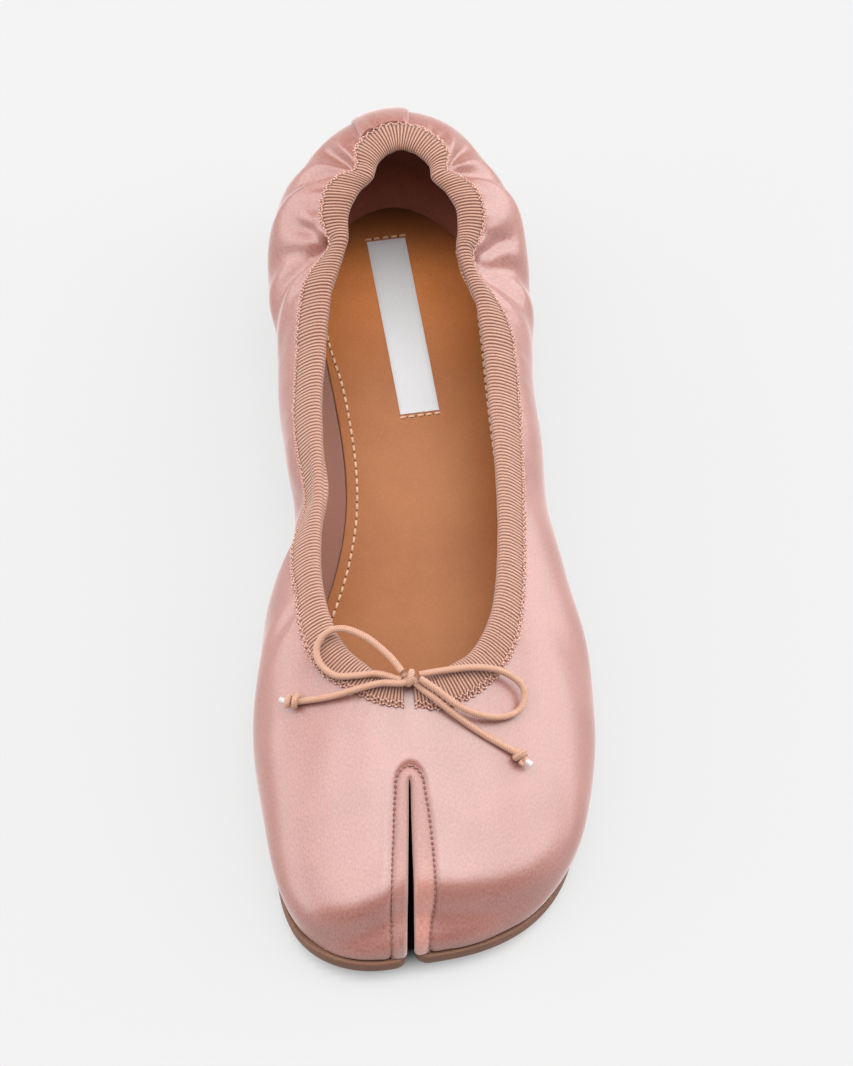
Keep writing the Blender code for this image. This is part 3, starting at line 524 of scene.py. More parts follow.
def satin_cloth(name, light, deep, level, sheen, sheen_roughness):
    """Satin in two tones; level is the strength of its gloss, sheen that of its fuzz."""
    material, tree, shader = start_material(name, IOR=1.6, Specular_IOR_Level=level,
                                            Sheen_Weight=sheen,
                                            Sheen_Roughness=sheen_roughness,
                                            Sheen_Tint=linear("fff1ef"))
    cloth = add(tree, "ShaderNodeUVMap", uv_map="cloth").outputs["UV"]
    floats = add(tree, "ShaderNodeMapping", {"Vector": cloth,
                                             "Scale": (1 / THREAD, 0.55 / THREAD, 1)})
    weave = add(tree, "ShaderNodeTexNoise", {"Vector": floats.outputs[0], "Scale": 1.0,
                                             "Detail": 1.0, "Roughness": 0.5})
    cloud = add(tree, "ShaderNodeTexNoise", {"Vector": cloth, "Scale": 0.07, "Detail": 2.0})
    both = add(tree, "ShaderNodeMath", {0: weave.outputs["Fac"], 1: 2.5, 2: -0.75},
               operation="MULTIPLY_ADD")
    both = add(tree, "ShaderNodeMath", {0: cloud.outputs["Fac"], 1: both.outputs[0]},
               operation="ADD")
    shade = add(tree, "ShaderNodeMapRange", {"Value": both.outputs[0], "From Min": 0.62,
                                             "From Max": 1.38})
    cover(tree, shader, shade.outputs[0], deep, light, weave.outputs["Fac"], 0.35, 0.05)
    gloss = add(tree, "ShaderNodeMapRange", {"Value": weave.outputs["Fac"], "To Min": 0.31,
                                             "To Max": 0.43})
    tree.links.new(gloss.outputs[0], shader.inputs["Roughness"])
    return material


satin = satin_cloth("rose pink duchess satin", "a16b60", "8e594f", 1.0, 0.85, 0.3)
strip_satin = satin_cloth("rose satin cut across the floats", "a16c60", "8f5b50", 0.6, 1.0, 0.55)
# a darker copy of the strip's satin: painted shade down the cleft's walls
cleft_shade_satin = satin_cloth("rose satin turned into the cleft", "9a6257", "865047", 0.3, 0.0, 0.3)

lining, tree, shader = start_material("brushed cotton lining", Roughness=0.9, IOR=1.45,
                                      Sheen_Weight=0.25, Sheen_Roughness=0.6)
cloth = add(tree, "ShaderNodeUVMap", uv_map="cloth").outputs["UV"]
fuzz = add(tree, "ShaderNodeTexNoise", {"Vector": cloth, "Scale": 1.6, "Detail": 4.0,
                                        "Roughness": 0.7})
cover(tree, shader, fuzz.outputs["Fac"], "845342", "a17262", fuzz.outputs["Fac"], 0.5, 0.1)

# %% [markdown]
# ## Thread and ribbon
# Grosgrain is a ribbon whose weft bundles stand up as ribs, about one a millimetre here.  The
# ribs are real ridges in the mesh, and every point carries how far up its rib it lies, so the
# material paints shade into the grooves between them and a highlight on the crests.  The cord
# and the threads are twisted, so they are drawn with slanting plies and painted shade where
# two plies meet.

# %% Grosgrain, cord and sewing thread
grosgrain, tree, shader = start_material("rose grosgrain ribbon", Roughness=0.58, IOR=1.5,
                                         Sheen_Weight=0.3, Sheen_Roughness=0.5)
rib = add(tree, "ShaderNodeAttribute", attribute_name="rib").outputs["Fac"]
cloth = add(tree, "ShaderNodeUVMap", uv_map="cloth").outputs["UV"]
fibre = add(tree, "ShaderNodeTexNoise", {"Vector": cloth, "Scale": 2.2, "Detail": 3.0})
frayed = add(tree, "ShaderNodeMath", {0: fibre.outputs["Fac"], 1: 0.35, 2: -0.17},
             operation="MULTIPLY_ADD")
crest = add(tree, "ShaderNodeMath", {0: rib, 1: frayed.outputs[0]}, operation="ADD",
            use_clamp=True)
# painted shade in the grooves and a painted highlight on the crests, mixed with fibre noise
cover(tree, shader, crest.outputs[0], "63301f", "ba8e79", fibre.outputs["Fac"], 0.3, 0.06)


def thread_material(name, dark, light, per_mm, slant, roughness):
    """Twisted thread: slanting plies, drawn along a tube whose UV runs in mm."""
    material, tree, shader = start_material(name, Roughness=roughness, IOR=1.5,
                                            Sheen_Weight=0.3, Sheen_Roughness=0.5)
    along_cord = add(tree, "ShaderNodeUVMap", uv_map="cord").outputs["UV"]
    parts = add(tree, "ShaderNodeSeparateXYZ", {0: along_cord})
    ply = add(tree, "ShaderNodeMath", {0: parts.outputs[0], 1: slant, 2: parts.outputs[1]},
              operation="MULTIPLY_ADD")
    turns = add(tree, "ShaderNodeMath", {0: ply.outputs[0], 1: per_mm * 2 * math.pi},
                operation="MULTIPLY")
    wave = add(tree, "ShaderNodeMath", {0: turns.outputs[0]}, operation="SINE")
    share = add(tree, "ShaderNodeMapRange", {"Value": wave.outputs[0], "From Min": -1.0})
    # painted shade where two plies meet, with a relief of the same waves
    cover(tree, shader, share.outputs[0], dark, light, wave.outputs[0], 0.6, 0.06)
    return material


elastic = thread_material("covered elastic cord", "ab7962", "c69a81", 1.9, 0.5, 0.5)
picot_thread = thread_material("dark rose picot thread", "a06253", "dcae9f", 1.0, 0.0, 0.6)
light_thread = thread_material("light rose sewing thread", "a06656", "dcb2a2", 1.1, 0.0, 0.55)
seam_thread = thread_material("brown rose sewing thread", "744137", "9c6053", 2.0, 1.2, 0.6)
tan_thread = thread_material("peach waxed thread", "eab88c", "fadcbc", 2.0, 1.2, 0.5)

# %% [markdown]
# ## Leather and tape
# The insole is smooth tan leather, buffed rather than coated: an even, low gloss over a pore
# grain of about 0.6 mm.  Painted light makes it paler under the heel, where the collar shades
# it, and painted shade darkens its end; painted light also makes the lining paler low down
# beside it.  The outsole and the lift are a brown sole leather whose cut edge is inked and
# rubbed.  The label is a tape of fine silver yarn, woven in satin and left bare.  Painted shade
# darkens its toe end and painted light lightens its heel end, where the collar shades it.

# %% Insole, sole and tape
def leather(name, dark, light, grain, roughness, bump):
    """Leather whose grain is given in mm; object coordinates are in metres."""
    material, tree, shader = start_material(name, Roughness=roughness, IOR=1.5)
    place = add(tree, "ShaderNodeTexCoord").outputs["Object"]
    pores = add(tree, "ShaderNodeTexVoronoi", {"Vector": place, "Scale": 1 / (grain * MM)})
    patina = add(tree, "ShaderNodeTexNoise", {"Vector": place, "Scale": 38.0, "Detail": 4.0,
                                              "Roughness": 0.6})
    mixed = add(tree, "ShaderNodeMath", {0: pores.outputs["Distance"], 1: 0.3,
                                         2: patina.outputs["Fac"]}, operation="MULTIPLY_ADD")
    share = add(tree, "ShaderNodeMapRange", {"Value": mixed.outputs[0], "From Min": 0.3,
                                             "From Max": 0.95})
    cover(tree, shader, share.outputs[0], dark, light, pores.outputs["Distance"], bump, 0.08)
    return material


def paint_light_and_shade(material, strength, ramps):
    """Paint light or shade: scale a material's colour where all ramps are full: axis, where none,
    where all (m).
    """
    tree = material.node_tree
    place = add(tree, "ShaderNodeTexCoord").outputs["Object"]
    parts = add(tree, "ShaderNodeSeparateXYZ", {0: place})
    full = 1.0
    for axis, none, all_of_it in ramps:
        ramp = add(tree, "ShaderNodeMapRange", {"Value": parts.outputs[axis], "From Min": none,
                                                "From Max": all_of_it},
                   interpolation_type="SMOOTHSTEP")
        full = add(tree, "ShaderNodeMath", {0: ramp.outputs[0], 1: full},
                   operation="MULTIPLY").outputs[0]
    scale = add(tree, "ShaderNodeMapRange", {"Value": full, "To Min": 1.0, "To Max": strength})
    target = tree.nodes["Principled BSDF"].inputs["Base Color"]
    scaled = add(tree, "ShaderNodeVectorMath", {0: target.links[0].from_socket,
                                                "Scale": scale.outputs[0]}, operation="SCALE")
    tree.links.new(scaled.outputs[0], target)


ACROSS, BACKWARDS, UPWARDS = 0, 1, 2        # axes of the object's own coordinates

insole_leather = leather("tan buffed insole leather", "9e5b2c", "b1703f", 0.6, 0.5, 0.25)
paint_light_and_shade(insole_leather, 2.05, [(BACKWARDS, 0.056, 0.100)])     # painted light under the heel, where the collar shades it
paint_light_and_shade(insole_leather, 0.16, [(BACKWARDS, 0.093, 0.121)])     # painted shade at its end, under the back of the collar
heel_leather = leather("tan heel lining leather", "6e4030", "845040", 0.6, 0.7, 0.4)
paint_light_and_shade(heel_leather, 2.3, [(UPWARDS, 0.028, 0.012)])          # painted light low down on the wall, by the insole
# painted light: the strip's lateral half is paler near the toe, in place of its sheen
paint_light_and_shade(strip_satin, 1.5, [(ACROSS, -0.0072, -0.0062), (BACKWARDS, -0.100, -0.116)])
sole_leather = leather("brown rubbed sole leather", "613d2b", "7f5843", 0.8, 0.6, 0.5)
lift_leather = leather("stacked heel leather", "5f3d2f", "86604d", 0.8, 0.6, 0.5)

tape, tree, shader = start_material("silver woven satin tape", Roughness=0.5, IOR=1.5,
                                    Sheen_Weight=0.2)
cloth = add(tree, "ShaderNodeUVMap", uv_map="cloth").outputs["UV"]
warp = add(tree, "ShaderNodeTexWave", {"Vector": cloth, "Scale": 0.5, "Distortion": 0.6,
                                       "Detail": 1.0}, bands_direction="Y")
yarn = add(tree, "ShaderNodeTexNoise", {"Vector": cloth, "Scale": 3.0, "Detail": 2.0})
share = add(tree, "ShaderNodeMath", {0: warp.outputs["Fac"], 1: 0.35, 2: yarn.outputs["Fac"]},
            operation="MULTIPLY_ADD")
cover(tree, shader, share.outputs[0], "d6d8da", "ecedee", share.outputs[0], 0.4, 0.05)
# painted shade on the label's toe end, which the soft box lights most
paint_light_and_shade(tape, 0.85, [(BACKWARDS, 0.075, 0.047)])
# painted light on the label's heel end, where the collar shades it
paint_light_and_shade(tape, 1.14, [(BACKWARDS, 0.070, 0.100)])

clear_tip, tree, shader = start_material("clear sealed tip", Roughness=0.18, IOR=1.49,
                                         Transmission_Weight=0.35, Coat_Weight=0.4)
place = add(tree, "ShaderNodeTexCoord").outputs["Object"]
melt = add(tree, "ShaderNodeTexNoise", {"Vector": place, "Scale": 900.0, "Detail": 2.0})
cover(tree, shader, melt.outputs["Fac"], "cfc4c4", "f4f0f0")
print("materials:", len(bpy.data.materials))

# %% [markdown]
# ## The cord's bow
# The elastic is a round core with a twisted cover, 1.8 mm thick.  Its two ends leave the ribbon
# at the throat and are tied in a small bow that lies on the vamp: two loops, two tails, and a
# knot near each tail's end that stops the cover from fraying.  The loops and tails are free
# cords, and the length of each is printed.

# %% Routes of the bow, in mm: across the shoe, behind the toe tip, above the ground
CORD_RADIUS = 0.92 * MM
LOOPS = {
    "bow_loop_medial": [
        (-6.6, 66.8, 45.2), (-8.9, 70.3, 45.7), (-11.8, 73.4, 46.4), (-15.9, 76.8, 47.2),
        (-21.4, 79.8, 46.7), (-25.8, 79.8, 44.9), (-28.5, 76.7, 42.7), (-27.7, 72.4, 41.5),
        (-24.0, 68.7, 41.5), (-19.0, 67.7, 42.5), (-13.1, 67.6, 43.3), (-6.9, 65.4, 43.4),
    ],
    "bow_loop_lateral": [
        (-2.1, 66.6, 43.8), (5.5, 67.7, 44.0), (13.2, 68.4, 43.7), (19.6, 68.5, 41.5),
        (24.5, 66.2, 38.9), (25.5, 63.0, 37.1), (23.7, 59.2, 36.3), (18.6, 56.8, 37.4),
        (12.8, 56.6, 39.5), (7.4, 58.6, 41.3), (2.3, 61.9, 43.6), (-2.1, 64.5, 45.2),
    ],
}
TAILS = {
    "bow_tail_medial": [
        (-6.7, 63.7, 44.5), (-12.1, 64.6, 43.4), (-18.4, 64.0, 41.9), (-25.3, 63.8, 38.9),
        (-33.2, 64.5, 36.0),
    ],
    "bow_tail_lateral": [
        (-2.2, 63.4, 43.0), (1.6, 60.4, 41.9), (6.9, 56.9, 39.1), (14.5, 52.4, 35.8),
        (22.2, 48.5, 33.3),
    ],
}
TIPS = {
    "cord_tip_medial": [(-36.6, 65.1, 35.0), (-37.6, 65.6, 34.8), (-38.5, 66.1, 34.6)],
    "cord_tip_lateral": [(25.0, 46.2, 32.5), (25.8, 45.6, 32.3), (26.6, 45.0, 32.1)],
}
KNOTS = {
    # name: middle, direction of the cord through it, turns, radius of the coil in mm
    "bow_knot": ((-4.4, 65.3, 44.4), (1.0, 0.05, 0.0), 1.4, 1.55),
    "tail_knot_medial": ((-35.2, 64.8, 35.5), (-1.0, 0.15, -0.3), 1.5, 1.2),
    "tail_knot_lateral": ((23.8, 47.3, 33.1), (0.75, -0.6, -0.3), 1.5, 1.2),
}
KNOT_PITCH = 2.15               # advance of a turn, in radii of the cord
KNOT_PULL = 0.95                # how much thinner the cord is where it is pulled tight
print("free cords:", len(LOOPS) + len(TAILS))

# %% [markdown]
# Elastic cord has no corners, so a smooth curve runs through the places of each route, with
# points at even steps.  A knot's wraps are a short coil.

# %% Turn a route or a knot into a tube
def through(places, count):
    """Even points in metres on a smooth curve through a few places in mm."""
    places = np.array(places, float)
    ends = np.vstack([2 * places[0] - places[1], places, 2 * places[-1] - places[-2]])
    fine = []
    for a, b, c, d in zip(ends, ends[1:], ends[2:], ends[3:]):
        for t in np.linspace(0, 1, 12, endpoint=False):
            bend = (2 * a - 5 * b + 4 * c - d) * t * t + (3 * b - a - 3 * c + d) * t ** 3
            fine.append(b + 0.5 * ((c - a) * t + bend))
    fine = np.array(fine + [places[-1]])
    run = run_along(fine)
    even = np.linspace(0.0, run[-1], count)
    line = np.stack([np.interp(even, run, fine[:, axis]) for axis in range(3)], 1)
    return line * MM + [0.0, -LENGTH / 2, 0.0]


def coil(middle, axis, turns, radius, count):
    """Points in metres of a knot's wraps, a short coil about the cord that it holds."""
    axis = np.array(axis) / np.linalg.norm(axis)
    up = unit(np.cross(axis, [0.0, 1.0, 0.0]))
    side = np.cross(up, axis)
    pitch = KNOT_PITCH * CORD_RADIUS / MM / (2 * np.pi)
    angles = np.linspace(-np.pi * turns, np.pi * turns, count)[:, None]
    line = middle + axis * pitch * angles + radius * (up * np.cos(angles) + side * np.sin(angles))
    return line * MM + [0.0, -LENGTH / 2, 0.0]


def cord_uv(radius, run, sides):
    """UV of a tube in mm: round it, and along it."""
    turn = np.linspace(0, 2 * np.pi * radius / MM, sides, endpoint=False)
    return np.stack(np.broadcast_arrays(turn[None, :], run[:, None] / MM), -1).reshape(-1, 2)


def cord_piece(name, path, radius, material, stands_for, sides=14):
    """Cord as a mesh tube, and its length."""
    run = run_along(path)
    rings = rings_along(path, radius, sides)
    return piece(name, rings.reshape(-1, 3), tube_faces(len(path), sides), [material],
                 stands_for, layers={"cord": cord_uv(radius, run, sides)}), run[-1]


# %% [markdown]
# Each knot is a short coil, pulled tight about the cords it holds.  A tail runs from the middle
# of the bow's knot through its stopper knot to the sealed tip, so nothing shows where one piece
# ends and the next begins.

# %% Tie the bow
cord_piece("knot_of_bow", coil(*KNOTS["bow_knot"], 60), CORD_RADIUS * KNOT_PULL, elastic,
           ["bow_knot"])
for name, places in LOOPS.items():
    path = through(places, 90)
    loop, length = cord_piece(name + "_cord", path, CORD_RADIUS, elastic, [name])
    print(name, "length in mm:", round(length / MM, 1))

SLIM = 0.98                     # a tail is this much thinner, so the knots cover it
TIP_SLIM = 0.9
for side in ("medial", "lateral"):
    knot_name, tip_name, tail_name = f"tail_knot_{side}", f"cord_tip_{side}", f"bow_tail_{side}"
    knot, _ = cord_piece(f"stopper_knot_{side}", coil(*KNOTS[knot_name], 56),
                         CORD_RADIUS * KNOT_PULL, elastic, [knot_name])
    tip_path = np.array(TIPS[tip_name]) * MM + [0.0, -LENGTH / 2, 0.0]
    tip, _ = cord_piece(f"sealed_tip_{side}", tip_path, CORD_RADIUS * TIP_SLIM, clear_tip,
                        [tip_name])
    route = [KNOTS["bow_knot"][0], *TAILS[tail_name], KNOTS[knot_name][0], TIPS[tip_name][0]]
    path = through(route, 70)
    tail, length = cord_piece(f"tail_{side}_cord", path, CORD_RADIUS * SLIM, elastic,
                              [tail_name])
    print(tail_name, "length in mm:", round(length / MM, 1))

# %% [markdown]
# ## The cleft
# The toe box is split between the big toe and the others.  The cleft is a narrow gap that opens
# a little towards the front, and it ends in a round just before the throat.  Everything beside
# it, sole, insole, upper and gusset, is laid out from its middle line.

# %% Lines along the cleft
CLEFT_BACK = 41.5 * MM          # its closed end, behind the toe tip
CLEFT_HALF_BACK = 0.6 * MM      # half of its gap there
CLEFT_HALF_TOE = 1.3 * MM       # half of its gap at the tip
CLEFT_LEAN = -0.030             # how far it turns to the big toe's side, per unit forwards
CLEFT_X = -5.6 * MM             # where its closed end is across the shoe
LOBE_CORNER = 3.2 * MM          # radius at the mouth of the cleft
SEAM_TURN = 40.0 * MM           # the seam's arch starts here
SEAM_BACK = 45.2 * MM           # and reaches this far behind the toe tip
# Way from the cleft's middle to its seam on each side: mm behind the toe tip, mm
SEAM_MEDIAL = [(0, 5.0), (10, 5.2), (17, 5.1), (28, 4.5), (36, 4.1), (40, 3.8)]
SEAM_LATERAL = [(0, 4.9), (6, 5.3), (14, 6.4), (21, 6.1), (29, 5.4), (36, 4.5), (40, 3.9)]


def seam_half(s, side):
    """Way from the cleft's middle to the seam; side is -1 at the big toe and 1 at the others."""
    return MM * np.where(np.asarray(side) < 0, monotone(SEAM_MEDIAL, s / MM),
                         monotone(SEAM_LATERAL, s / MM))


def cleft_x(s):
    """Middle of the cleft across the shoe."""
    return CLEFT_X - CLEFT_LEAN * (s - CLEFT_BACK)


def cleft_half(s):
    """Half of the cleft's gap."""
    return CLEFT_HALF_TOE + (CLEFT_HALF_BACK - CLEFT_HALF_TOE) * smoothstep(0.0, CLEFT_BACK, s)


def cleft_side(s, side, extra=0.0):
    """Plan point on one side of the cleft, -1 at the big toe and 1 at the others."""
    return np.array([cleft_x(s) + side * (cleft_half(s) + extra), along(s)])


print("gap of the cleft in mm:", *(round(2 * cleft_half(s) / MM, 1) for s in (0.0, CLEFT_BACK)))

# %% [markdown]
# Outsole and insole share one outline: the foot edge, moved a little out or in, with the cleft
# cut into it.  At the mouth of the cleft each toe turns its corner in a soft curve.

# %% Outline of a split sole
def toe_station(x):
    """Station of the foot edge in front of the toes that is at x."""
    tries = np.linspace(-3.0, 3.0, 1201)
    return np.interp(x, foot_curve(tries)[:, 0], tries)


def edge_points(stations, offset):
    """Plan points of the foot edge moved outwards."""
    points = foot_curve(stations) + outward(foot_curve, stations) * offset
    points[:, 1] -= LENGTH / 2
    return points


def lobe_side(toe, side, extra):
    """Plan points from the front of a toe round its corner and back along the cleft."""
    start = toe[1] + LOBE_CORNER + LENGTH / 2
    mouth = cleft_side(start, side, extra)
    knee = np.array([mouth[0], toe[1] + 0.15 * LOBE_CORNER])
    points = []
    for t in np.linspace(0, 1, 9)[1:]:
        points.append((1 - t) ** 2 * toe + 2 * t * (1 - t) * knee + t * t * mouth)
    for s in np.linspace(start, CLEFT_BACK, 14)[1:]:
        points.append(cleft_side(s, side, extra))
    return points


def split_outline(offset, extra=0.0):
    """Plan outline of a sole: the foot edge moved by offset, with the cleft cut in."""
    first = toe_station(cleft_side(0.0, 1, 0.0)[0] + LOBE_CORNER)
    last = toe_station(cleft_side(0.0, -1, 0.0)[0] - LOBE_CORNER) + STATIONS
    edge = edge_points(np.linspace(first, last, 300), offset)
    half = cleft_half(CLEFT_BACK) + extra
    end = np.array([cleft_x(CLEFT_BACK), along(CLEFT_BACK)])
    arch = [end + half * np.array([np.cos(a), np.sin(a)])
            for a in np.radians([150, 120, 90, 60, 30])]
    big_toe = lobe_side(edge[-1], -1, extra)
    other_toes = lobe_side(edge[0], 1, extra)
    return np.array(list(edge) + big_toe + arch + other_toes[::-1])


# %% [markdown]
# ## Soles
# The outsole is cut from 3.5 mm leather, its edge rounded on a wheel.  It is lofted through a
# few outlines at different heights, each a little in or out, and closed flat above and below.
# The sheet is then cut across every few millimetres, so it can bend up under the toe and the
# waist as the last does.

# %% Plates of leather
BEND_EVERY = 4 * MM             # between two cuts across a sheet


def plate(name, outlines, heights, bend, material, stands_for):
    """Solid through plan outlines at their heights; bend turns s and height into z."""
    count = len(outlines[0])
    points = np.concatenate([np.column_stack([line, np.full(count, height)])
                             for line, height in zip(outlines, heights)])
    body = bmesh.new()
    verts = [body.verts.new(p) for p in points]
    for face in tube_faces(len(outlines), count):
        body.faces.new([verts[k] for k in face])
    low, high = points[:, 1].min(), points[:, 1].max()
    for y in np.arange(low + BEND_EVERY / 2, high, BEND_EVERY):
        parts = body.verts[:] + body.edges[:] + body.faces[:]
        bmesh.ops.bisect_plane(body, geom=parts, plane_co=(0, y, 0), plane_no=(0, 1, 0),
                               dist=1e-5)
    bmesh.ops.triangulate(body, faces=[f for f in body.faces if len(f.verts) > 4])
    body.verts.index_update()
    places = np.array([v.co for v in body.verts])
    places[:, 2] = bend(places[:, 1] + LENGTH / 2, places[:, 2])
    faces = [[v.index for v in f.verts] for f in body.faces]
    body.free()
    return piece(name, places, faces, [material], stands_for, sharp=45.0)


def rounded(make_outline, low, high, radius, steps=4):
    """Outlines and heights of a plate's edge, rounded above and below."""
    outlines, heights = [], []
    for base, way in ((low, 1), (high, -1)):
        for a in np.linspace(0, np.pi / 2, steps)[::way]:
            outlines.append(make_outline(-radius * (1 - np.sin(a))))
            heights.append(base + way * radius * (1 - np.cos(a)))
    order = np.argsort(heights, kind="stable")
    return [outlines[k] for k in order], [heights[k] for k in order]


# %% [markdown]
# Both soles bend with the last.  The insole is thinner and lies inside the upper, on the
# satin's turned edges, so it is a little smaller all round, and clear of the strip's walls.

# %% Outsole and insole
SOLE_LIP = 0.9 * MM             # the sole stands this far out of the upper's foot edge
INSOLE_INSET = 1.7 * MM         # and the insole this far in from it
INSOLE_EDGE = 1.6 * MM          # from the cleft's side to the insole


def sole_bend(s, height):
    """Height above the ground of a level of the flat sole, once it is bent to the last."""
    return underside(s) + height


outlines, heights = rounded(lambda d: split_outline(SOLE_LIP + d), 0.0, SOLE_THICK, 0.7 * MM)
plate("leather_outsole", outlines, heights, sole_bend, sole_leather, ["outsole"])

insole_low = SOLE_THICK + CLEARANCE
insole_high = insole_low + INSOLE_THICK
outlines, heights = rounded(lambda d: split_outline(-INSOLE_INSET + d, INSOLE_EDGE - d),
                            insole_low, insole_high, 0.35 * MM)
plate("leather_insole", outlines, heights, sole_bend, insole_leather,
      ["insole"])

# %% [markdown]
# The lift is a low stack of leather under the heel, cut straight across in front.  Its edge is
# rounded above and below, and a fine groove shows where its two layers are glued.

# %% Heel lift
LIFT_INSET = 1.2 * MM           # its edge lies this far in from the outsole's
LIFT_FRONT = 0.775              # where it begins, as a part of the length


def lift_outline(offset):
    """Plan outline of the heel lift, moved outwards by an offset."""
    edge = edge_points(np.linspace(8.0, 24.0, 400), SOLE_LIP - LIFT_INSET + offset)
    front = along(LIFT_FRONT * LENGTH) - offset
    inside = edge[edge[:, 1] > front]
    left, right = inside[-1], inside[0]
    lip = [left + (right - left) * t for t in np.linspace(0, 1, 22)[1:-1]]
    keep = inside[np.linspace(0, len(inside) - 1, 150).round().astype(int)]
    return np.array(list(keep) + [np.array(p) for p in lip])


LIFT_LEVELS = [     # part of the lift's height, mm out
    (0.0, -0.5), (0.09, 0.0), (0.42, 0.0), (0.45, -0.25), (0.48, 0.0), (0.91, 0.0), (1.0, -0.4),
]
plate("leather_heel_lift", [lift_outline(out * MM) for _, out in LIFT_LEVELS],
      [level for level, _ in LIFT_LEVELS],
      lambda s, part: (underside(s) - CLEARANCE) * part, lift_leather,
      ["heel_lift"])

# %% [markdown]
# ## Stitches
# A row of lock stitches shows as dashes of thread, each ending where the needle went through.
# Every stitch is a short bowed tube of its own, laid along a line at the real spacing, with a
# small dark disc of painted shade for the hole between two of them.

# %% Stitches along a line
def along_line(path, up, step, start):
    """Points every step along a path, with the directions of travel and of up."""
    path = np.asarray(path)
    up = np.broadcast_to(up, path.shape)
    run = run_along(path)
    spots = np.arange(start, run[-1] - 0.2 * step, step)

    def at(values, where):
        return np.stack([np.interp(where, run, values[:, k]) for k in range(3)], 1)

    place = at(path, spots)
    return place, unit(at(path, spots + 0.2 * step) - place), unit(at(up, spots))


STITCH_SIDES = 8


def stitch_row(name, path, up, pitch, length, radius, material, sink=0.3):
    """One mesh of bowed dashes along a path; up has a direction for every point of the path."""
    middle, run, ups = along_line(path, up, pitch, pitch / 2)
    points, faces, uvs = [], [], []
    bow = np.linspace(-1, 1, 7)
    for centre, ahead, rise in zip(middle, run, ups):
        line = centre + ahead * (bow[:, None] * length / 2) \
            + rise * (radius * (1 - sink - 1.4 * np.abs(bow[:, None]) ** 3))
        swell = radius * np.sqrt(np.clip(1 - 0.75 * np.abs(bow) ** 4, 0.05, 1))
        faces += tube_faces(len(bow), STITCH_SIDES, len(points) * STITCH_SIDES)
        points += list(rings_along(line, swell, STITCH_SIDES))
        uvs.append(cord_uv(radius, bow * length / 2, STITCH_SIDES))
    return piece(name, np.concatenate(points), faces, [material],
                 layers={"cord": np.concatenate(uvs)})


def hole_shade_between(name, path, up, pitch, radius, material):
    """Small dark discs, slightly sunk cones: painted shade where the needle went through."""
    middle, run, ups = along_line(path, up, pitch, pitch)
    points, faces = [], []
    turn = np.linspace(0, 2 * np.pi, STITCH_SIDES, endpoint=False)
    for centre, ahead, rise in zip(middle, run, ups):
        side = np.cross(ahead, rise)
        start = len(points)
        ring = centre + radius * (ahead * np.cos(turn)[:, None] + side * np.sin(turn)[:, None])
        points += list(ring + rise * 0.03 * MM) + list(ring - rise * 0.2 * MM)
        faces += tube_faces(2, STITCH_SIDES, start)
    return piece(name, points, faces, [material])


# Painted shade: the dark colour stands in for the shadow inside each needle hole.
painted_hole_shade, _, _ = start_material("leather pierced by a needle", Roughness=0.9,
                                   Base_Color=linear("5b2f18"))

# %% [markdown]
# The insole is sewn along both sides with peach waxed thread.  On the big toe's side the row
# lies further from the edge, and the heel's end is only glued.

# %% Stitches of the insole
STITCH_END = 204.0 * MM         # behind the toe tip
straight_up = np.array([0.0, 0.0, 1.0])
edge_count = 300                # points of the outline before it turns into the cleft
outer_line, inner_line = (split_outline(-INSOLE_INSET - inset * MM)[:edge_count]
                          for inset in (1.4, 2.9))
station_part = np.linspace(0, 1, edge_count)[:, None]
wide = smoothstep(0.45, 0.6, station_part) * (1 - smoothstep(178.0, 200.0, (
    inner_line[:, 1:] + LENGTH / 2) / MM))
stitch_line = outer_line + (inner_line - outer_line) * wide
stitch_line = np.column_stack([stitch_line, sole_bend(stitch_line[:, 1] + LENGTH / 2,
                                                      insole_high)])
glued = np.flatnonzero(stitch_line[:, 1] > along(STITCH_END))
for word, line in (("lateral", stitch_line[:glued[0]]), ("medial", stitch_line[glued[-1] + 1:])):
    stitch_row(f"insole_stitches_{word}", line, straight_up, 2.6 * MM, 1.8 * MM, 0.36 * MM,
               tan_thread)
    hole_shade_between(f"insole_needle_holes_{word}", line, straight_up, 2.6 * MM, 0.27 * MM,
                  painted_hole_shade)

# %% [markdown]
# ## The label
# A woven tape is sewn to the insole under the heel.  This one is bare.  It is half a millimetre
# thick, lies a little turned, and a few peach stitches cross the leather beyond each end.

# %% Label and its stitches
LABEL_LENGTH = 57.8 * MM
LABEL_WIDTH = 10.7 * MM
LABEL_THICK = 0.5 * MM
LABEL_GAP = 0.15 * MM
LABEL_X = 1.0 * MM              # its middle, across the shoe
LABEL_BACK = 200.6 * MM         # its middle, behind the toe tip
LABEL_TURN = math.radians(6.4)
label_run = np.array([-math.sin(LABEL_TURN), math.cos(LABEL_TURN)])
label_side = np.array([math.cos(LABEL_TURN), math.sin(LABEL_TURN)])
label_middle = np.array([LABEL_X, along(LABEL_BACK)])


def on_insole(plan, rise=0.0):
    """Points on the insole's top under plan points."""
    plan = np.atleast_2d(plan)
    return np.column_stack([plan, sole_bend(plan[:, 1] + LENGTH / 2, insole_high + rise)])


def strip_faces(columns, rows):
    """Faces of a closed strip stored column by column, with a cap on each end."""
    caps = [list(range(rows - 1, -1, -1)), [(columns - 1) * rows + k for k in range(rows)]]
    return [list(f) for f in grid_quads(columns, rows, False, True)] + caps


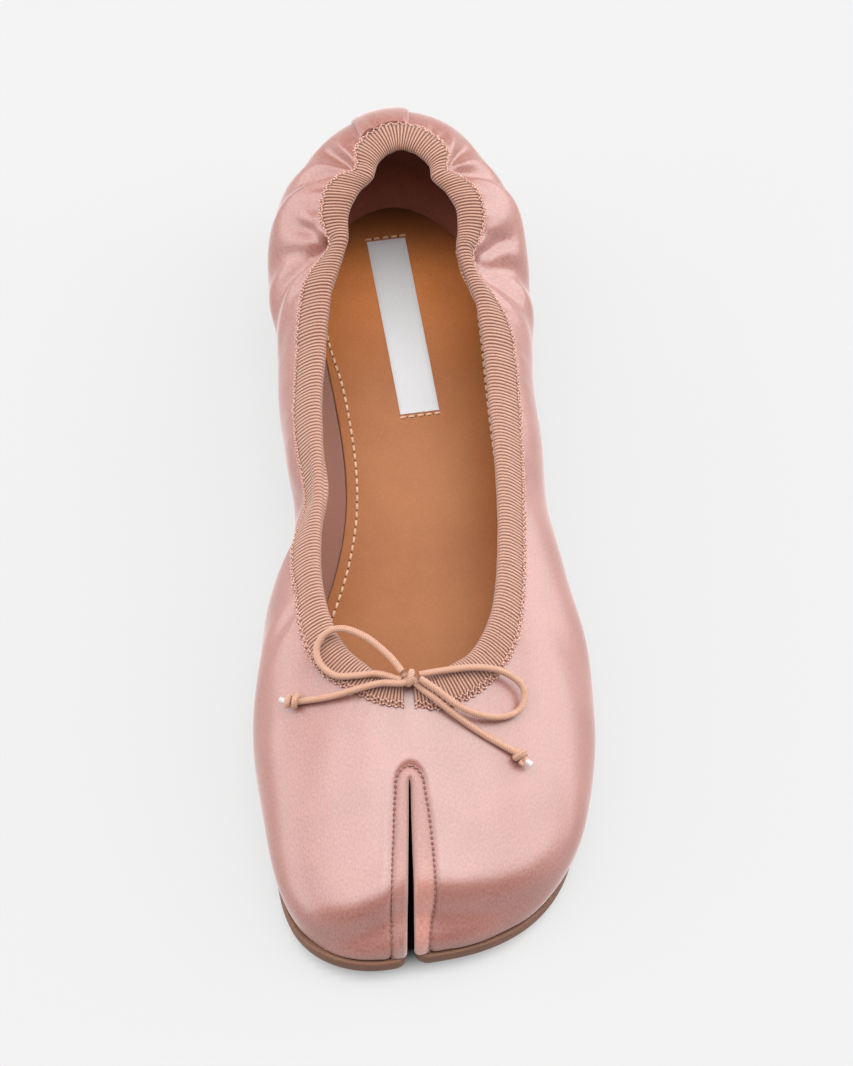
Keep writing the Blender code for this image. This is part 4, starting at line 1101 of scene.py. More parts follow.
a = np.linspace(-1, 1, 61)[:, None]         # along the label, from end to end
b = np.linspace(-1, 1, 15)[None]            # across it
plan = label_middle + a[..., None] * label_run * LABEL_LENGTH / 2 \
    + b[..., None] * label_side * LABEL_WIDTH / 2
edge = np.clip((1 - np.abs(a)) / 0.02, 0, 1) * np.clip((1 - np.abs(b)) / 0.1, 0, 1)
lift = LABEL_GAP + LABEL_THICK * (0.35 + 0.65 * np.sqrt(edge))
ripple = 0.05 * MM * np.sin(a * 9.0) * np.cos(b * 1.4)
top = on_insole(plan.reshape(-1, 2)).reshape(*lift.shape, 3)
top = top + straight_up * (lift + ripple)[..., None]
under = on_insole(plan.reshape(-1, 2), LABEL_GAP).reshape(*lift.shape, 3)
loop = np.concatenate([top, under[:, ::-1]], 1)
uv = np.stack(np.broadcast_arrays(a * LABEL_LENGTH / 2 / MM, b * LABEL_WIDTH / 2 / MM), -1)
uv = np.concatenate([uv, uv[:, ::-1]], 1).reshape(-1, 2)
piece("bare_woven_label", loop.reshape(-1, 3), strip_faces(*loop.shape[:2]), [tape],
      ["insole_label"], layers={"cloth": uv})

for end, word in ((-1, "front"), (1, "back")):
    centre = label_middle + end * label_run * (LABEL_LENGTH / 2 + 0.9 * MM)
    line = on_insole(centre + np.linspace(-0.56, 0.56, 24)[:, None] * label_side * LABEL_WIDTH)
    stitch_row(f"label_stitches_{word}", line, straight_up, 2.4 * MM, 1.75 * MM, 0.33 * MM,
               tan_thread)
    hole_shade_between(f"label_needle_holes_{word}", line, straight_up, 2.4 * MM, 0.24 * MM,
                  painted_hole_shade)

# %% [markdown]
# ## Relief of the satin
# The wall so far is the last's own smooth form.  Real satin records how it was handled: drawn
# creases run down from each pinch of the elastic, small puckers lie below the ribbon, the
# quarters are a little slack, and a groove is pulled along the cleft's seam.  Each is a soft
# trough or ridge, placed in stations round the last and in millimetres below the fold.

# %% Creases and puckers
STATION_RUN = 17.0              # mm round the heel for one station
CREASES = [
    # (station, mm down) at the start, (station, mm down) at the end, depth, half width at each
    ((17.50, 9), (18.30, 38), 1.7, 1.2, 4.5),
    ((17.50, 9), (16.95, 26), 1.5, 1.2, 3.5),
    ((18.92, 9), (19.90, 36), 1.9, 1.3, 5.0),
    ((18.92, 9), (19.05, 40), 1.0, 1.2, 4.0),
    ((18.92, 9), (18.30, 24), 1.2, 1.2, 3.0),
    ((14.50, 9), (13.75, 36), 1.7, 1.2, 4.5),
    ((14.50, 9), (15.10, 24), 1.5, 1.2, 3.5),
    ((12.85, 9), (11.90, 30), 1.1, 1.3, 4.5),
    ((12.85, 9), (12.75, 40), 1.0, 1.2, 4.0),
    ((12.85, 9), (13.50, 24), 1.2, 1.2, 3.0),
    ((22.90, 9), (23.80, 30), 1.2, 1.8, 6.0),
    ((22.90, 9), (21.80, 30), 0.8, 1.8, 6.0),
    ((25.30, 9), (25.80, 30), 0.4, 2.2, 6.0),
]


def creases(u, drop):
    """Depth in metres of the drawn creases; drop is the way below the fold in mm."""
    x, y = u * STATION_RUN, drop
    depth = np.zeros(np.broadcast(x, y).shape)
    for (u0, d0), (u1, d1), deep, narrow, wide in CREASES:
        ax, ay, bx, by = u0 * STATION_RUN, d0, u1 * STATION_RUN, d1
        dx, dy = bx - ax, by - ay
        t = ((x - ax) * dx + (y - ay) * dy) / (dx * dx + dy * dy)
        inside = np.clip(t, 0, 1)
        away = np.hypot(x - ax - inside * dx, y - ay - inside * dy)
        width = narrow + (wide - narrow) * inside
        fade = 1 - smoothstep(0.25, 1.0, inside)
        depth = depth + deep * MM * fade * (np.exp(-(away / width) ** 2)
                                            - 0.35 * np.exp(-((away - 1.9 * width) / width) ** 2))
    return depth


def puckers(u, drop):
    """Small ripples that the elastic leaves below the ribbon, strongest round the heel."""
    heel = smoothstep(9.5, 12.5, u) * (1 - smoothstep(19.6, 22.5, u))
    near = np.exp(-((drop - 8.0) / 7.0) ** 2)
    lap = 2 * np.pi / STATIONS
    ripple = (np.sin(u * lap * 62 + 0.4) + 0.7 * np.sin(u * lap * 100 + 2.2 + 0.05 * drop)
              + 0.5 * np.sin(u * lap * 159 + 1.1))
    return ripple * near * (0.015 + 0.2 * heel) * MM


def slackness(u, drop):
    """Slow undulation of the foam-backed cloth over the quarters and the toe."""
    lap = 2 * np.pi / STATIONS
    slow = (np.sin(u * lap * 12 + 0.055 * drop + 0.6)
            + 0.8 * np.sin(u * lap * 19 - 0.08 * drop + 2.1)
            + 0.5 * np.sin(u * lap * 6 + 0.16 * drop))
    quarter = smoothstep(5.0, 9.0, u) * (1 - smoothstep(24.0, 28.0, u))
    body = smoothstep(6.0, 16.0, drop)
    return slow * body * (0.10 + 0.22 * quarter) * MM


def seam_distance(x, s):
    """Distance outside the cleft's seam in the plan, in metres, negative inside it."""
    aside = x - cleft_x(s)
    half = seam_half(s, aside)
    reach = SEAM_BACK - SEAM_TURN
    spread = np.hypot(aside / half, (s - SEAM_TURN) / reach)
    return np.where(s <= SEAM_TURN, np.abs(aside) - half, (spread - 1) * reach)


print("creases:", len(CREASES))

# %% [markdown]
# Creases and puckers need every point's distance below the fold.  Asking the wall for each of
# them would be slow, so the distances are worked out once, on a fine grid, and read from it.

# %% Table of distances to the fold
DROP_STATIONS = np.linspace(0, STATIONS, 801)
DROP_HEIGHTS = np.linspace(0, 1, 121)
wall_lines = smooth_wall(DROP_STATIONS[:, None], DROP_HEIGHTS[None, :])
steps_up = np.linalg.norm(np.diff(wall_lines[:, ::-1], axis=1), axis=-1)
drops = np.concatenate([np.zeros((801, 1)), np.cumsum(steps_up, 1)], 1)[:, ::-1] / MM


def fold_distance(u, v):
    """Way from each point up the wall to the fold, in mm, read from a table."""
    column = np.mod(u, STATIONS) / STATIONS * (len(DROP_STATIONS) - 1)
    row = np.clip(v, 0, 1) * (len(DROP_HEIGHTS) - 1)
    i = np.minimum(column.astype(int), len(DROP_STATIONS) - 2)
    j = np.minimum(row.astype(int), len(DROP_HEIGHTS) - 2)
    a, b = column - i, row - j
    return ((1 - a) * (1 - b) * drops[i, j] + a * (1 - b) * drops[i + 1, j]
            + (1 - a) * b * drops[i, j + 1] + a * b * drops[i + 1, j + 1])


print("from the fold to the sole at the heel, mm:", round(drops[len(drops) // 2, 0], 1))

# %% [markdown]
# ## The upper
# One ring of satin runs from the cleft's seam round the heel and back to the seam.  Its first
# and last columns follow the seam exactly, and above the seam's arch they meet and are welded.
# Rows and columns lie closer where the form turns fast: at the foot edge, at the seam, round
# the arch and in the gathers.

# %% Where the rows of the upper meet the seam
RIBBON_FACE = 9.3 * MM


def seam_stations(v):
    """Stations where a row of the wall crosses the seam, lateral and medial, or None above it."""
    tries = np.linspace(-3.0, 3.0, 1201)
    line = smooth_wall(tries, np.full(len(tries), v))
    outside = seam_distance(line[:, 0], line[:, 1] + LENGTH / 2)
    inner = np.flatnonzero(outside < 0)
    if not len(inner):
        return None
    lateral, medial = inner[-1], inner[0]
    return (np.interp(0, outside[lateral:lateral + 2], tries[lateral:lateral + 2]),
            -np.interp(0, -outside[medial - 1:medial + 1], -tries[medial - 1:medial + 1]))


def seam_top():
    """Height up the wall and station of the highest point of the seam's arch."""
    low, high = 0.3, 0.95
    for _ in range(40):
        middle = (low + high) / 2
        if seam_stations(middle) is None:
            high = middle
        else:
            low = middle
    return low, float(np.mean(seam_stations(low)))


arch_v, arch_u = seam_top()
arch_rows = arch_v * (1 - 0.075 * (1 - np.sin(np.radians([90, 80, 68, 55, 42, 29, 15, 0])))[::-1])
print("seam's arch at v", round(arch_v, 3), "station", round(arch_u, 3))

# %% Grid of the upper
lower = np.concatenate([[0.0, 0.006, 0.014, 0.024], np.linspace(0.036, arch_rows[0], 38)[:-1]])
top_v = below_topline(np.array([arch_u]), RIBBON_FACE)[0]
upper_part = np.linspace(arch_v, top_v, 22)[1:]
plain_rows = np.concatenate([lower, arch_rows, upper_part])
columns = np.concatenate([
    np.array([0, 0.02, 0.045, 0.075, 0.11, 0.16]),
    np.linspace(0.22, 11.9, 178),
    np.linspace(11.96, 19.9, 170),
    np.linspace(19.98, 31.78, 178),
    32 - np.array([0.16, 0.11, 0.075, 0.045, 0.02, 0])])
LOBE_REACH = 3.2                # stations from the cleft over which the columns are pushed aside
UNDER_RIBBON = [7.4, 5.4, 3.6, 2.2, 1.0, 0.3]      # rows under it, mm below its fold
near_start = 1 - smoothstep(0.0, LOBE_REACH, columns)
near_end = 1 - smoothstep(0.0, LOBE_REACH, STATIONS - columns)
grid_u = []
for v in plain_rows:
    crossing = seam_stations(v) if v < arch_v else None
    lateral, medial = crossing or (arch_u, arch_u)
    grid_u.append(columns + lateral * near_start + medial * near_end)
grid_u = np.array(grid_u).T
# The rows rise ever more to the ribbon's edge, so that the last one follows it
edge_v = np.interp(grid_u[:, -1], columns, below_topline(columns, RIBBON_FACE))
grid_v = plain_rows[None, :] + (edge_v[:, None] - top_v) * (plain_rows / top_v)[None, :] ** 3
under = np.stack([below_topline(grid_u[:, -1], d * MM) for d in UNDER_RIBBON], 1)
grid_u = np.concatenate([grid_u, np.repeat(grid_u[:, -1:], len(UNDER_RIBBON), 1)], 1)
grid_v = np.concatenate([grid_v, under], 1)
drop = fold_distance(grid_u, grid_v)
print("upper grid:", grid_u.shape, "rows up the wall:", len(plain_rows))

# %% [markdown]
# The grid is laid over the last with every crease added.  The same grid, set inwards by the
# cloth's thickness, is the lining.  Where the wall flares out over the foot edge the lining
# can't follow it, because the insole is in the way: it comes straight down instead.

# %% Lay the satin and its lining over the last
HEEL_LINING = (12.6, 19.7)      # stations between which the lining is leather
TUCK = 0.9 * MM                 # the foot edge turns in this far under the shoe
BEND_OF_LINING = 0.8 * MM       # how softly the lining turns down to the insole


def dressed(u, v, drop, offset):
    """Outside of the satin with its creases, at an offset."""
    flat = smooth_wall(u, v)
    seam = np.abs(seam_distance(flat[..., 0], flat[..., 1] + LENGTH / 2)) / MM
    groove = 0.45 * MM * np.exp(-(seam / 0.75) ** 2)
    groove = groove - 0.10 * MM * np.exp(-((seam - 2.0) / 1.0) ** 2)
    groove = np.where(flat[..., 1] < along(SEAM_BACK + 3 * MM), groove, 0.0)
    relief = slackness(u, drop) + puckers(u, drop) - creases(u, drop) - groove
    return wall(u, v) + normals(wall, u, v) * (relief + offset)[..., None]


tuck = np.clip(1 - grid_v / 0.03, 0, 1)
outer = dressed(grid_u, grid_v, drop, -TUCK * (1 - np.sqrt(1 - tuck ** 2)))
inner = dressed(grid_u, grid_v, drop, -UPPER_WALL)
foot = foot_curve(grid_u)
way_out = outward(foot_curve, grid_u)
stands = np.sum((inner[..., :2] - foot + [0, LENGTH / 2]) * way_out, -1)
over = inner[..., 2] - underside(inner[..., 1] + LENGTH / 2) - insole_high
limit = 1.1 * np.maximum(over, 0) - INSOLE_INSET + 0.1 * MM
pushed = 0.5 * (stands + limit - np.sqrt((stands - limit) ** 2 + BEND_OF_LINING ** 2))
pushed = pushed + 0.1 * MM
inner[..., :2] += way_out * np.minimum(pushed - stands, 0.0)[..., None]

# %% [markdown]
# The two layers become one closed shell.  The lining needs only every other row up its plain
# part, and the open ends, below the seam's arch, are closed with a thin edge of cloth.

# %% Close the shell and make the upper
FINE_ROWS = 66                  # rows of the wall below the ribbon
inner_rows = np.r_[0:4, 4:FINE_ROWS:2, FINE_ROWS:grid_v.shape[1]]
inner = inner[:, inner_rows]
ring = np.concatenate([outer, inner[:, ::-1]], 1)
columns_count, rows_count = ring.shape[:2]
faces = grid_quads(columns_count, rows_count, False, True)
row_of = np.tile(np.arange(rows_count), columns_count - 1)
is_inside = (row_of >= outer.shape[1]).astype(int)
at_heel = np.repeat((columns[:-1] > HEEL_LINING[0]) & (columns[:-1] < HEEL_LINING[1]), rows_count)
is_inside[at_heel & (is_inside == 1)] = 2
caps = []
open_rows = int(np.searchsorted(plain_rows, arch_v))
facing = rows_count - 1 - np.searchsorted(inner_rows, np.arange(open_rows + 1))
for base in (0, (columns_count - 1) * rows_count):
    for row in range(open_rows):
        quad = [row, row + 1, facing[row + 1], facing[row]]
        caps.append([base + int(corner) for corner in dict.fromkeys(quad)])
run_mm = run_along(smooth_wall(grid_u[:, 30], grid_v[:, 30])) / MM
cloth_uv = np.stack(np.broadcast_arrays(run_mm[:, None], -drop), -1)
cloth_uv = np.concatenate([cloth_uv, cloth_uv[:, inner_rows][:, ::-1]], 1).reshape(-1, 2)
piece("satin_upper", ring.reshape(-1, 3), [list(f) for f in faces] + caps,
      [satin, lining, heel_leather], ["upper"], sharp=60.0, weld=0.004 * MM,
      inside=np.concatenate([is_inside, np.zeros(len(caps), int)]),
      layers={"cloth": cloth_uv})

# %% [markdown]
# ## The toe gusset
# Inside the seam a narrow strip of satin turns over into the cleft, runs down to the sole, and
# comes up on the other side.  It is a grid too: each column starts at the seam, crosses the
# strip's flat, rolls over the edge and drops down the wall of the cleft.  Its padding plumps
# it, so the two sides nearly touch.

# %% Columns of the gusset
ROLL = 1.5 * MM                 # radius of the edge into the cleft
GUSSET_WALL = 1.1 * MM
GUSSET_GAP = 0.45 * MM          # from the strip's lower end to the outsole
SEAM_GAP = 0.12 * MM            # from the strip to the vamp
PLUMP = 0.3 * MM                # the strip's padding stands this far into the cleft
FLAT_STEPS = np.array([0.0, 0.2, 0.45, 0.8, 1.2, 1.8, 2.4, 3.0]) * MM
ROLL_ANGLES = np.radians(np.linspace(0, 90, 9)[1:])
WALL_STEPS = np.linspace(0, 1, 9)[1:]


def vamp_at(x, v):
    """Points of the vamp at places x, for one v."""
    tries = np.linspace(-4.0, 4.0, 801)
    line = smooth_wall(tries, np.full(len(tries), v))
    return np.stack([np.interp(x, line[:, 0], line[:, axis]) for axis in range(3)], -1)


def gusset_column(on_vamp, inward, bottom, side, reach):
    """Points from the seam over the roll and down to the sole."""
    column = []
    for step in FLAT_STEPS * (reach - ROLL) / FLAT_STEPS[-1]:
        dip = 0.45 * MM * np.exp(-(step / MM / 0.75) ** 2)
        column.append(on_vamp(reach - step) + inward * dip)
    start = on_vamp(ROLL)
    for angle in ROLL_ANGLES:
        column.append(start + side * ROLL * np.sin(angle) + inward * ROLL * (1 - np.cos(angle)))
    top = column[-1]
    return column + [top + (bottom - top) * t for t in WALL_STEPS]


def gusset_branch(side, vs):
    """Columns along one side of the cleft, from the front of the toe to its closed end."""
    columns = []
    for v in vs:
        s = vamp_at(cleft_x(10 * MM), v)[1] + LENGTH / 2
        near = min(s, CLEFT_BACK)
        edge = cleft_side(near, side)[0]
        first = vamp_at(edge, 0.0)[1] + LENGTH / 2
        part = max((near - first) / (CLEFT_BACK - first), 0.0)
        first += 0.8 * LOBE_CORNER
        foot = first + (CLEFT_BACK - first) * part
        bottom = np.append(cleft_side(foot, side), underside(foot) + SOLE_THICK + GUSSET_GAP)
        inward = unit(bottom - vamp_at(edge, v))
        edge -= side * PLUMP
        bottom[0] -= side * PLUMP
        reach = float(seam_half(near, side) - cleft_half(near)) - SEAM_GAP + PLUMP
        columns.append(gusset_column(lambda d: vamp_at(edge + side * d, v), inward, bottom,
                                     np.array([-side, 0.0, 0.0]), reach))
        if s > SEAM_TURN - 0.5 * MM:
            break
    return columns


def gusset_arch(angles):
    """Columns round the cleft's closed end."""
    u, v = np.meshgrid(np.linspace(-3, 3, 121), np.linspace(0.3, 0.9, 121), indexing="ij")
    skin = BVHTree.FromPolygons([Vector(p) for p in smooth_wall(u.ravel(), v.ravel())],
                                grid_quads(121, 121).tolist())
    half = cleft_half(CLEFT_BACK) - PLUMP
    columns = []
    for angle in angles:
        away = np.array([np.cos(angle), np.sin(angle)])
        end = SEAM_TURN + (CLEFT_BACK - SEAM_TURN) * away[1]
        rim = np.array([cleft_x(end), along(end)]) + away * half
        wide = float(seam_half(SEAM_TURN, away[0]))
        seam = np.array([cleft_x(SEAM_TURN), along(SEAM_TURN)]) \
            + away * [wide, SEAM_BACK - SEAM_TURN]
        reach = np.linalg.norm(seam - rim)
        way = (seam - rim) / reach
        bottom = np.append(rim, underside(end) + SOLE_THICK + GUSSET_GAP)
        columns.append(gusset_column(
            lambda d: np.array(skin.ray_cast(Vector((*(rim + way * d), 0.1)),
                                             Vector((0, 0, -1)))[0]),
            np.array([0.0, 0.0, -1.0]), bottom, np.append(-way, 0.0), reach - SEAM_GAP))
    return columns


# %% [markdown]
# The strip is one length of satin, so its columns run on from the big toe's side, round the
# closed end, to the other side.  Its back is the same grid set in by the strip's thickness.
# The seam to the vamp is sewn with brown rose thread, and its stitches lie in a groove.

# %% Make the gusset and sew its seam
branch_rows = np.concatenate([np.linspace(0, 0.1, 12)[:-1], np.linspace(0.1, arch_v, 54)])
arch_angles = np.radians(np.linspace(176, 4, 29))
strip = np.array(gusset_branch(-1, branch_rows) + gusset_arch(arch_angles)
                 + gusset_branch(1, branch_rows)[::-1])
across = unit(np.cross(np.gradient(strip, axis=0), np.gradient(strip, axis=1)))
across *= np.sign(np.dot(across[len(strip) // 4, 3], [0, -0.5, 1]))
across[[0, -1]] = across[[1, -2]]       # at its ends the grid turns too fast to tell
across[:, -1] = across[:, -2]
back = strip - across * (GUSSET_WALL - 0.1 * MM)
ring = np.concatenate([strip, back[:, ::-1]], 1)
n_col, n_row = ring.shape[:2]
uv = np.stack(np.broadcast_arrays(run_along(strip[:, 4])[:, None] / MM,
                                  run_along(strip[5])[None] / MM), -1)
uv = np.concatenate([uv, uv[:, ::-1]], 1).reshape(-1, 2)
# faces down the cleft's wall wear the darker satin, painted shade
cleft_shade_faces = np.arange((n_col - 1) * n_row) % n_row >= len(FLAT_STEPS) + len(ROLL_ANGLES) - 1
piece("satin_toe_gusset", ring.reshape(-1, 3), strip_faces(n_col, n_row),
      [strip_satin, cleft_shade_satin], ["toe_gusset"], sharp=70.0,
      inside=np.append(cleft_shade_faces, [1, 1]).astype(int), layers={"cloth": uv})
seam_path = strip[:, 0] + across[:, 0] * 0.05 * MM
stitch_row("cleft_seam_stitches", seam_path, across[:, 0], 1.5 * MM, 1.05 * MM, 0.22 * MM,
           seam_thread, sink=0.1)

# %% [markdown]
# ## The collar's ribbon
# The grosgrain is folded over the raw edge of the satin and sewn down, with the elastic cord
# inside the fold.  So it is a soft, plump band: round at the fold, swelling on its face, and
# drawn in along its stitched edge.  It starts and ends at the throat with cut ends, under the
# bow.  The ribs keep their spacing along the ribbon's own length, so they crowd and fan where
# the elastic bends the collar.  They are counted first, along the line that the ribbon takes.

# %% Places of the ribs
SNUG = 0.4 * MM                 # the ribbon's own gap to the satin
RIBBON_WALL = 0.7 * MM
THROAT_X = -5.0 * MM
THROAT_GAP = 2.4 * MM           # between its two cut ends
RIB_PITCH = 1.04 * MM
CROWDED = 0.17                  # the elastic crowds the ribs by this share at heel and throat
RIB_HEIGHT = 0.26 * MM
FACE_OUT = SNUG + RIBBON_WALL
tries = np.linspace(-2.0, 2.0, 801)
throat = top_curve(tries)[:, 0]
ribbon_first = np.interp(THROAT_X + THROAT_GAP / 2, throat, tries)
ribbon_last = np.interp(THROAT_X - THROAT_GAP / 2, throat, tries) + STATIONS

NARROWED = [    # the ribbon's face is narrower under the bow: station, mm
    (0.0, 2.2), (0.4, 2.2), (0.95, 0.8), (1.6, 0.3), (2.4, 0.0), (27.3, 0.0), (28.0, 0.8),
    (28.5, 1.6), (29.3, 2.3), (30.0, 2.4), (31.3, 2.6), (32.0, 2.2),
]


def face_share(u):
    """Width of the ribbon's face as a share of its full width."""
    return 1 - monotone(NARROWED, np.mod(u, STATIONS)) * MM / RIBBON_FACE


def puffed(u):
    """How far the elastic inside puffs the ribbon out, along the collar."""
    return (0.10 * np.sin(u * 9.7 + 0.8) + 0.08 * np.sin(u * 17.3 + 2.0)) * MM


tries = np.linspace(ribbon_first, ribbon_last, 6001)
band = layer(tries, below_topline(tries, 5.0 * MM), np.full(len(tries), FACE_OUT))
tape_run = run_along(band)
crowd = smoothstep(11.9, 12.7, tries) * (1 - smoothstep(19.2, 20.0, tries))
crowd = 1 + CROWDED * (crowd + 1 - smoothstep(4.5, 6.0, tries) + smoothstep(25.5, 27.0, tries))
step = np.diff(tape_run) * 0.5 * (crowd[1:] + crowd[:-1]) / RIB_PITCH
rib_count = np.concatenate([[0], np.cumsum(step)])
ribs = int(round(rib_count[-1]))
print("ribbon length in mm:", round(tape_run[-1] / MM, 1), "ribs:", ribs)
rib_parts = np.array([0.0, 0.12, 0.32, 0.5, 0.68, 0.88])       # cuts across one rib
phase = (np.arange(ribs)[:, None] + rib_parts).ravel()
phase = np.append(phase, ribs)
ribbon_u = np.interp(phase * rib_count[-1] / ribs, rib_count, tries)
rib_wave = np.abs(np.sin(np.pi * phase)) ** 0.7

# %% [markdown]
# The ribbon's section is listed point by point: its face, its round fold over the raw edge, its
# inner side, and back along the gap that the wall of the shoe fills.  Every rib repeats the
# section, a little higher on its crest.  Real ridges catch the light better here than a bump
# would, because the fold shows them from the side.

# %% Section of the ribbon, and the ribbon itself
def ribbon_profile():
    """Way below the fold, and offset outside the satin, round the ribbon's section."""
    fold = FACE_OUT + 0.5 * UPPER_WALL
    face = [(d, FACE_OUT - 0.5 * MM * smoothstep(7.8, 9.3, d)
             + 0.3 * MM * math.sin(math.pi * min(d / 9.0, 1))) for d in
            (9.3, 9.0, 8.4, 7.6, 6.7, 5.7, 4.6, 3.4, 2.4)]
    top = [(1.9 - 1.9 * math.sin(a), -0.5 * UPPER_WALL + fold * math.cos(a))
           for a in np.radians([25, 50, 72, 90, 108, 130, 155])]
    lining_side = [(d, -UPPER_WALL - FACE_OUT - 0.25 * MM * math.sin(math.pi * (d - 1.9) / 3.3))
                   for d in (2.2, 3.0, 3.9, 4.7)] + [(5.2, -UPPER_WALL - FACE_OUT + 0.3 * MM)]
    outside = face + top + lining_side
    back = [(5.2, -UPPER_WALL - SNUG), (2.2, -UPPER_WALL - SNUG), (1.0, -0.5 * UPPER_WALL),
            (2.2, SNUG), (5.2, SNUG), (9.3, 0.3 * MM)]
    return outside, back


outside, inside = ribbon_profile()
heel = smoothstep(10.0, 12.6, ribbon_u) * (1 - smoothstep(19.4, 22.0, ribbon_u))
rows = []
for k, (down, offset) in enumerate(outside + inside):
    v = below_topline(ribbon_u, down * face_share(ribbon_u) * MM)
    away = np.full(len(ribbon_u), offset)
    if k < len(outside):
        side = np.sign(offset + 0.5 * UPPER_WALL + 1e-9)
        away = away + side * ((rib_wave - 0.5) * RIB_HEIGHT
                              + puffed(ribbon_u) * (0.5 + heel))
    rows.append(layer(ribbon_u, v, away))
ribbon = np.stack(rows, 1)
n_col, n_row = ribbon.shape[:2]
shade = np.zeros((n_col, n_row))
# painted shade of the grooves, deeper round the heel
shade[:, :len(outside)] = (rib_wave ** (2.2 + 1.4 * heel))[:, None]
uv = np.stack(np.broadcast_arrays((phase * RIB_PITCH / MM)[:, None],
                                  np.arange(n_row, dtype=float)[None]), -1)
piece("grosgrain_collar_ribbon", ribbon.reshape(-1, 3), strip_faces(n_col, n_row),
      [grosgrain], ["collar_binding"], sharp=80.0,
      layers={"rib": shade.ravel(), "cloth": uv.reshape(-1, 2)})

# %% [markdown]
# The ribbon's edge is a picot: the weft turns back in small loops of darker thread.  A zigzag
# of lighter thread, sewn just inside, holds the ribbon down and stretches with the elastic.

# %% Picot edge and zigzag
def edge_thread(name, drop_of, offset_of, radius, sides, samples, pitch, material):
    """Thread that wanders along the ribbon's edge.  drop_of gives its way below the fold and
    offset_of its way off the satin, in mm, from the number of turns it has made."""
    turns = round(tape_run[-1] / pitch)
    steps = np.linspace(0, turns, turns * samples + 1)
    u = np.interp(steps / turns * tape_run[-1], tape_run, tries)
    v = below_topline(u, drop_of(steps) * face_share(u) * MM)
    line = layer(u, v, offset_of(steps) * MM + puffed(u))
    rings = rings_along(line, radius, sides, up=normals(wall, u, v))
    piece(name, rings.reshape(-1, 3), tube_faces(len(line), sides), [material],
          layers={"cord": cord_uv(radius, run_along(line), sides)})


def to_and_fro(turns):
    """Straight way from 1 to -1 and back in each turn."""
    return (2 / np.pi) * np.arcsin(np.cos(2 * np.pi * turns))


edge_thread("picot_edge", lambda turns: 9.5 + 0.28 * np.cos(2 * np.pi * turns),
            lambda turns: 0.55 + 0.1 * np.sin(4 * np.pi * turns), 0.23 * MM, 7, 8, 1.8 * MM,
            picot_thread)
edge_thread("zigzag_stitches", lambda turns: 8.35 + 0.5 * to_and_fro(turns),
            lambda turns: 1.43, 0.18 * MM, 6, 6, 1.8 * MM, light_thread)

# %% [markdown]
# ## The strip over the back seam
# A tab of the same satin, folded in at both sides, covers the seam at the heel.  Its long
# edges are rounded folds, and it is a little fuller than the wall.

# %% Heel strip
TAB_HALF = 7.7 * MM             # half of its width
TAB_X = -4.0 * MM
TAB_WALL = 0.7 * MM


def back_station(x, v):
    """Station at the back of the heel that is at x, for one v."""
    tries = np.linspace(14.7, 17.3, 261)
    line = smooth_wall(tries, np.full(len(tries), v))
    return np.interp(-x, -line[:, 0], tries)


tab_top = below_topline(np.array([16.2]), RIBBON_FACE + 0.05 * MM)[0]
v = np.linspace(0.012, tab_top, 72)
part = np.sin(np.linspace(np.pi / 2, -np.pi / 2, 41))
u = np.array([[back_station(TAB_X + TAB_HALF * p, row) for row in v] for p in part])
grid_v_tab = np.repeat(v[None], len(part), 0)
drop_tab = fold_distance(u, grid_v_tab)
edge = np.sqrt(np.clip(1 - part ** 8, 0, 1))[:, None]
seam_line = 0.12 * MM * np.exp(-((np.abs(part) - 0.86) / 0.03) ** 2)[:, None]
rise = SNUG + TAB_WALL * edge + 0.25 * MM * np.cos(part * np.pi / 2)[:, None] - seam_line
front = dressed(u, grid_v_tab, drop_tab, rise)
back = dressed(u, grid_v_tab, drop_tab, np.full(u.shape, 0.18 * MM))
loop = np.concatenate([front, back[::-1]], 0)
uv = np.stack([np.repeat(part[:, None] * TAB_HALF / MM, len(v), 1), -drop_tab], -1)
uv = np.concatenate([uv, uv[::-1]], 0).reshape(-1, 2)
numbers = np.arange(loop[..., 0].size).reshape(loop.shape[:2])
caps = [numbers[::-1, 0].tolist(), numbers[:, -1].tolist()]
piece("satin_heel_strip", loop.reshape(-1, 3),
      grid_quads(*loop.shape[:2], True, False).tolist() + caps, [satin],
      ["heel_tab"], sharp=60.0, layers={"cloth": uv})

# %% [markdown]
# ## Floor
# The shoe stands on a sheet of pale matt paper that sweeps up all round, so that no horizon
# shows from any side.  The paper glows a little, as it does in a light tent.  Its glow and its
# colour are painted dark under the shoe, a painted shadow, so the cleft and the gap under the
# toe show black.  Each point of the paper carries its share of the glow.

# %% Paper floor
NEAR_STEP = 0.002               # m between the paper's lines close to the shoe
FAR_LINES = [0.1, 0.2, 0.5, 1.2, 3.0, 3.3, 3.52, 3.6, 3.6]
SWEEP = [0.9, 0.32, 0.1, 0.02, 0.0]        # heights of the outermost lines, from outside in


def paper_lines(near, shift):
    """Places of the paper's lines on one axis: fine near the shoe, and wider further out."""
    out = [d + shift for d in FAR_LINES]
    fine = np.arange(-near, near + 0.0001, NEAR_STEP)
    return np.array([-d for d in out[::-1]] + list(fine) + out)


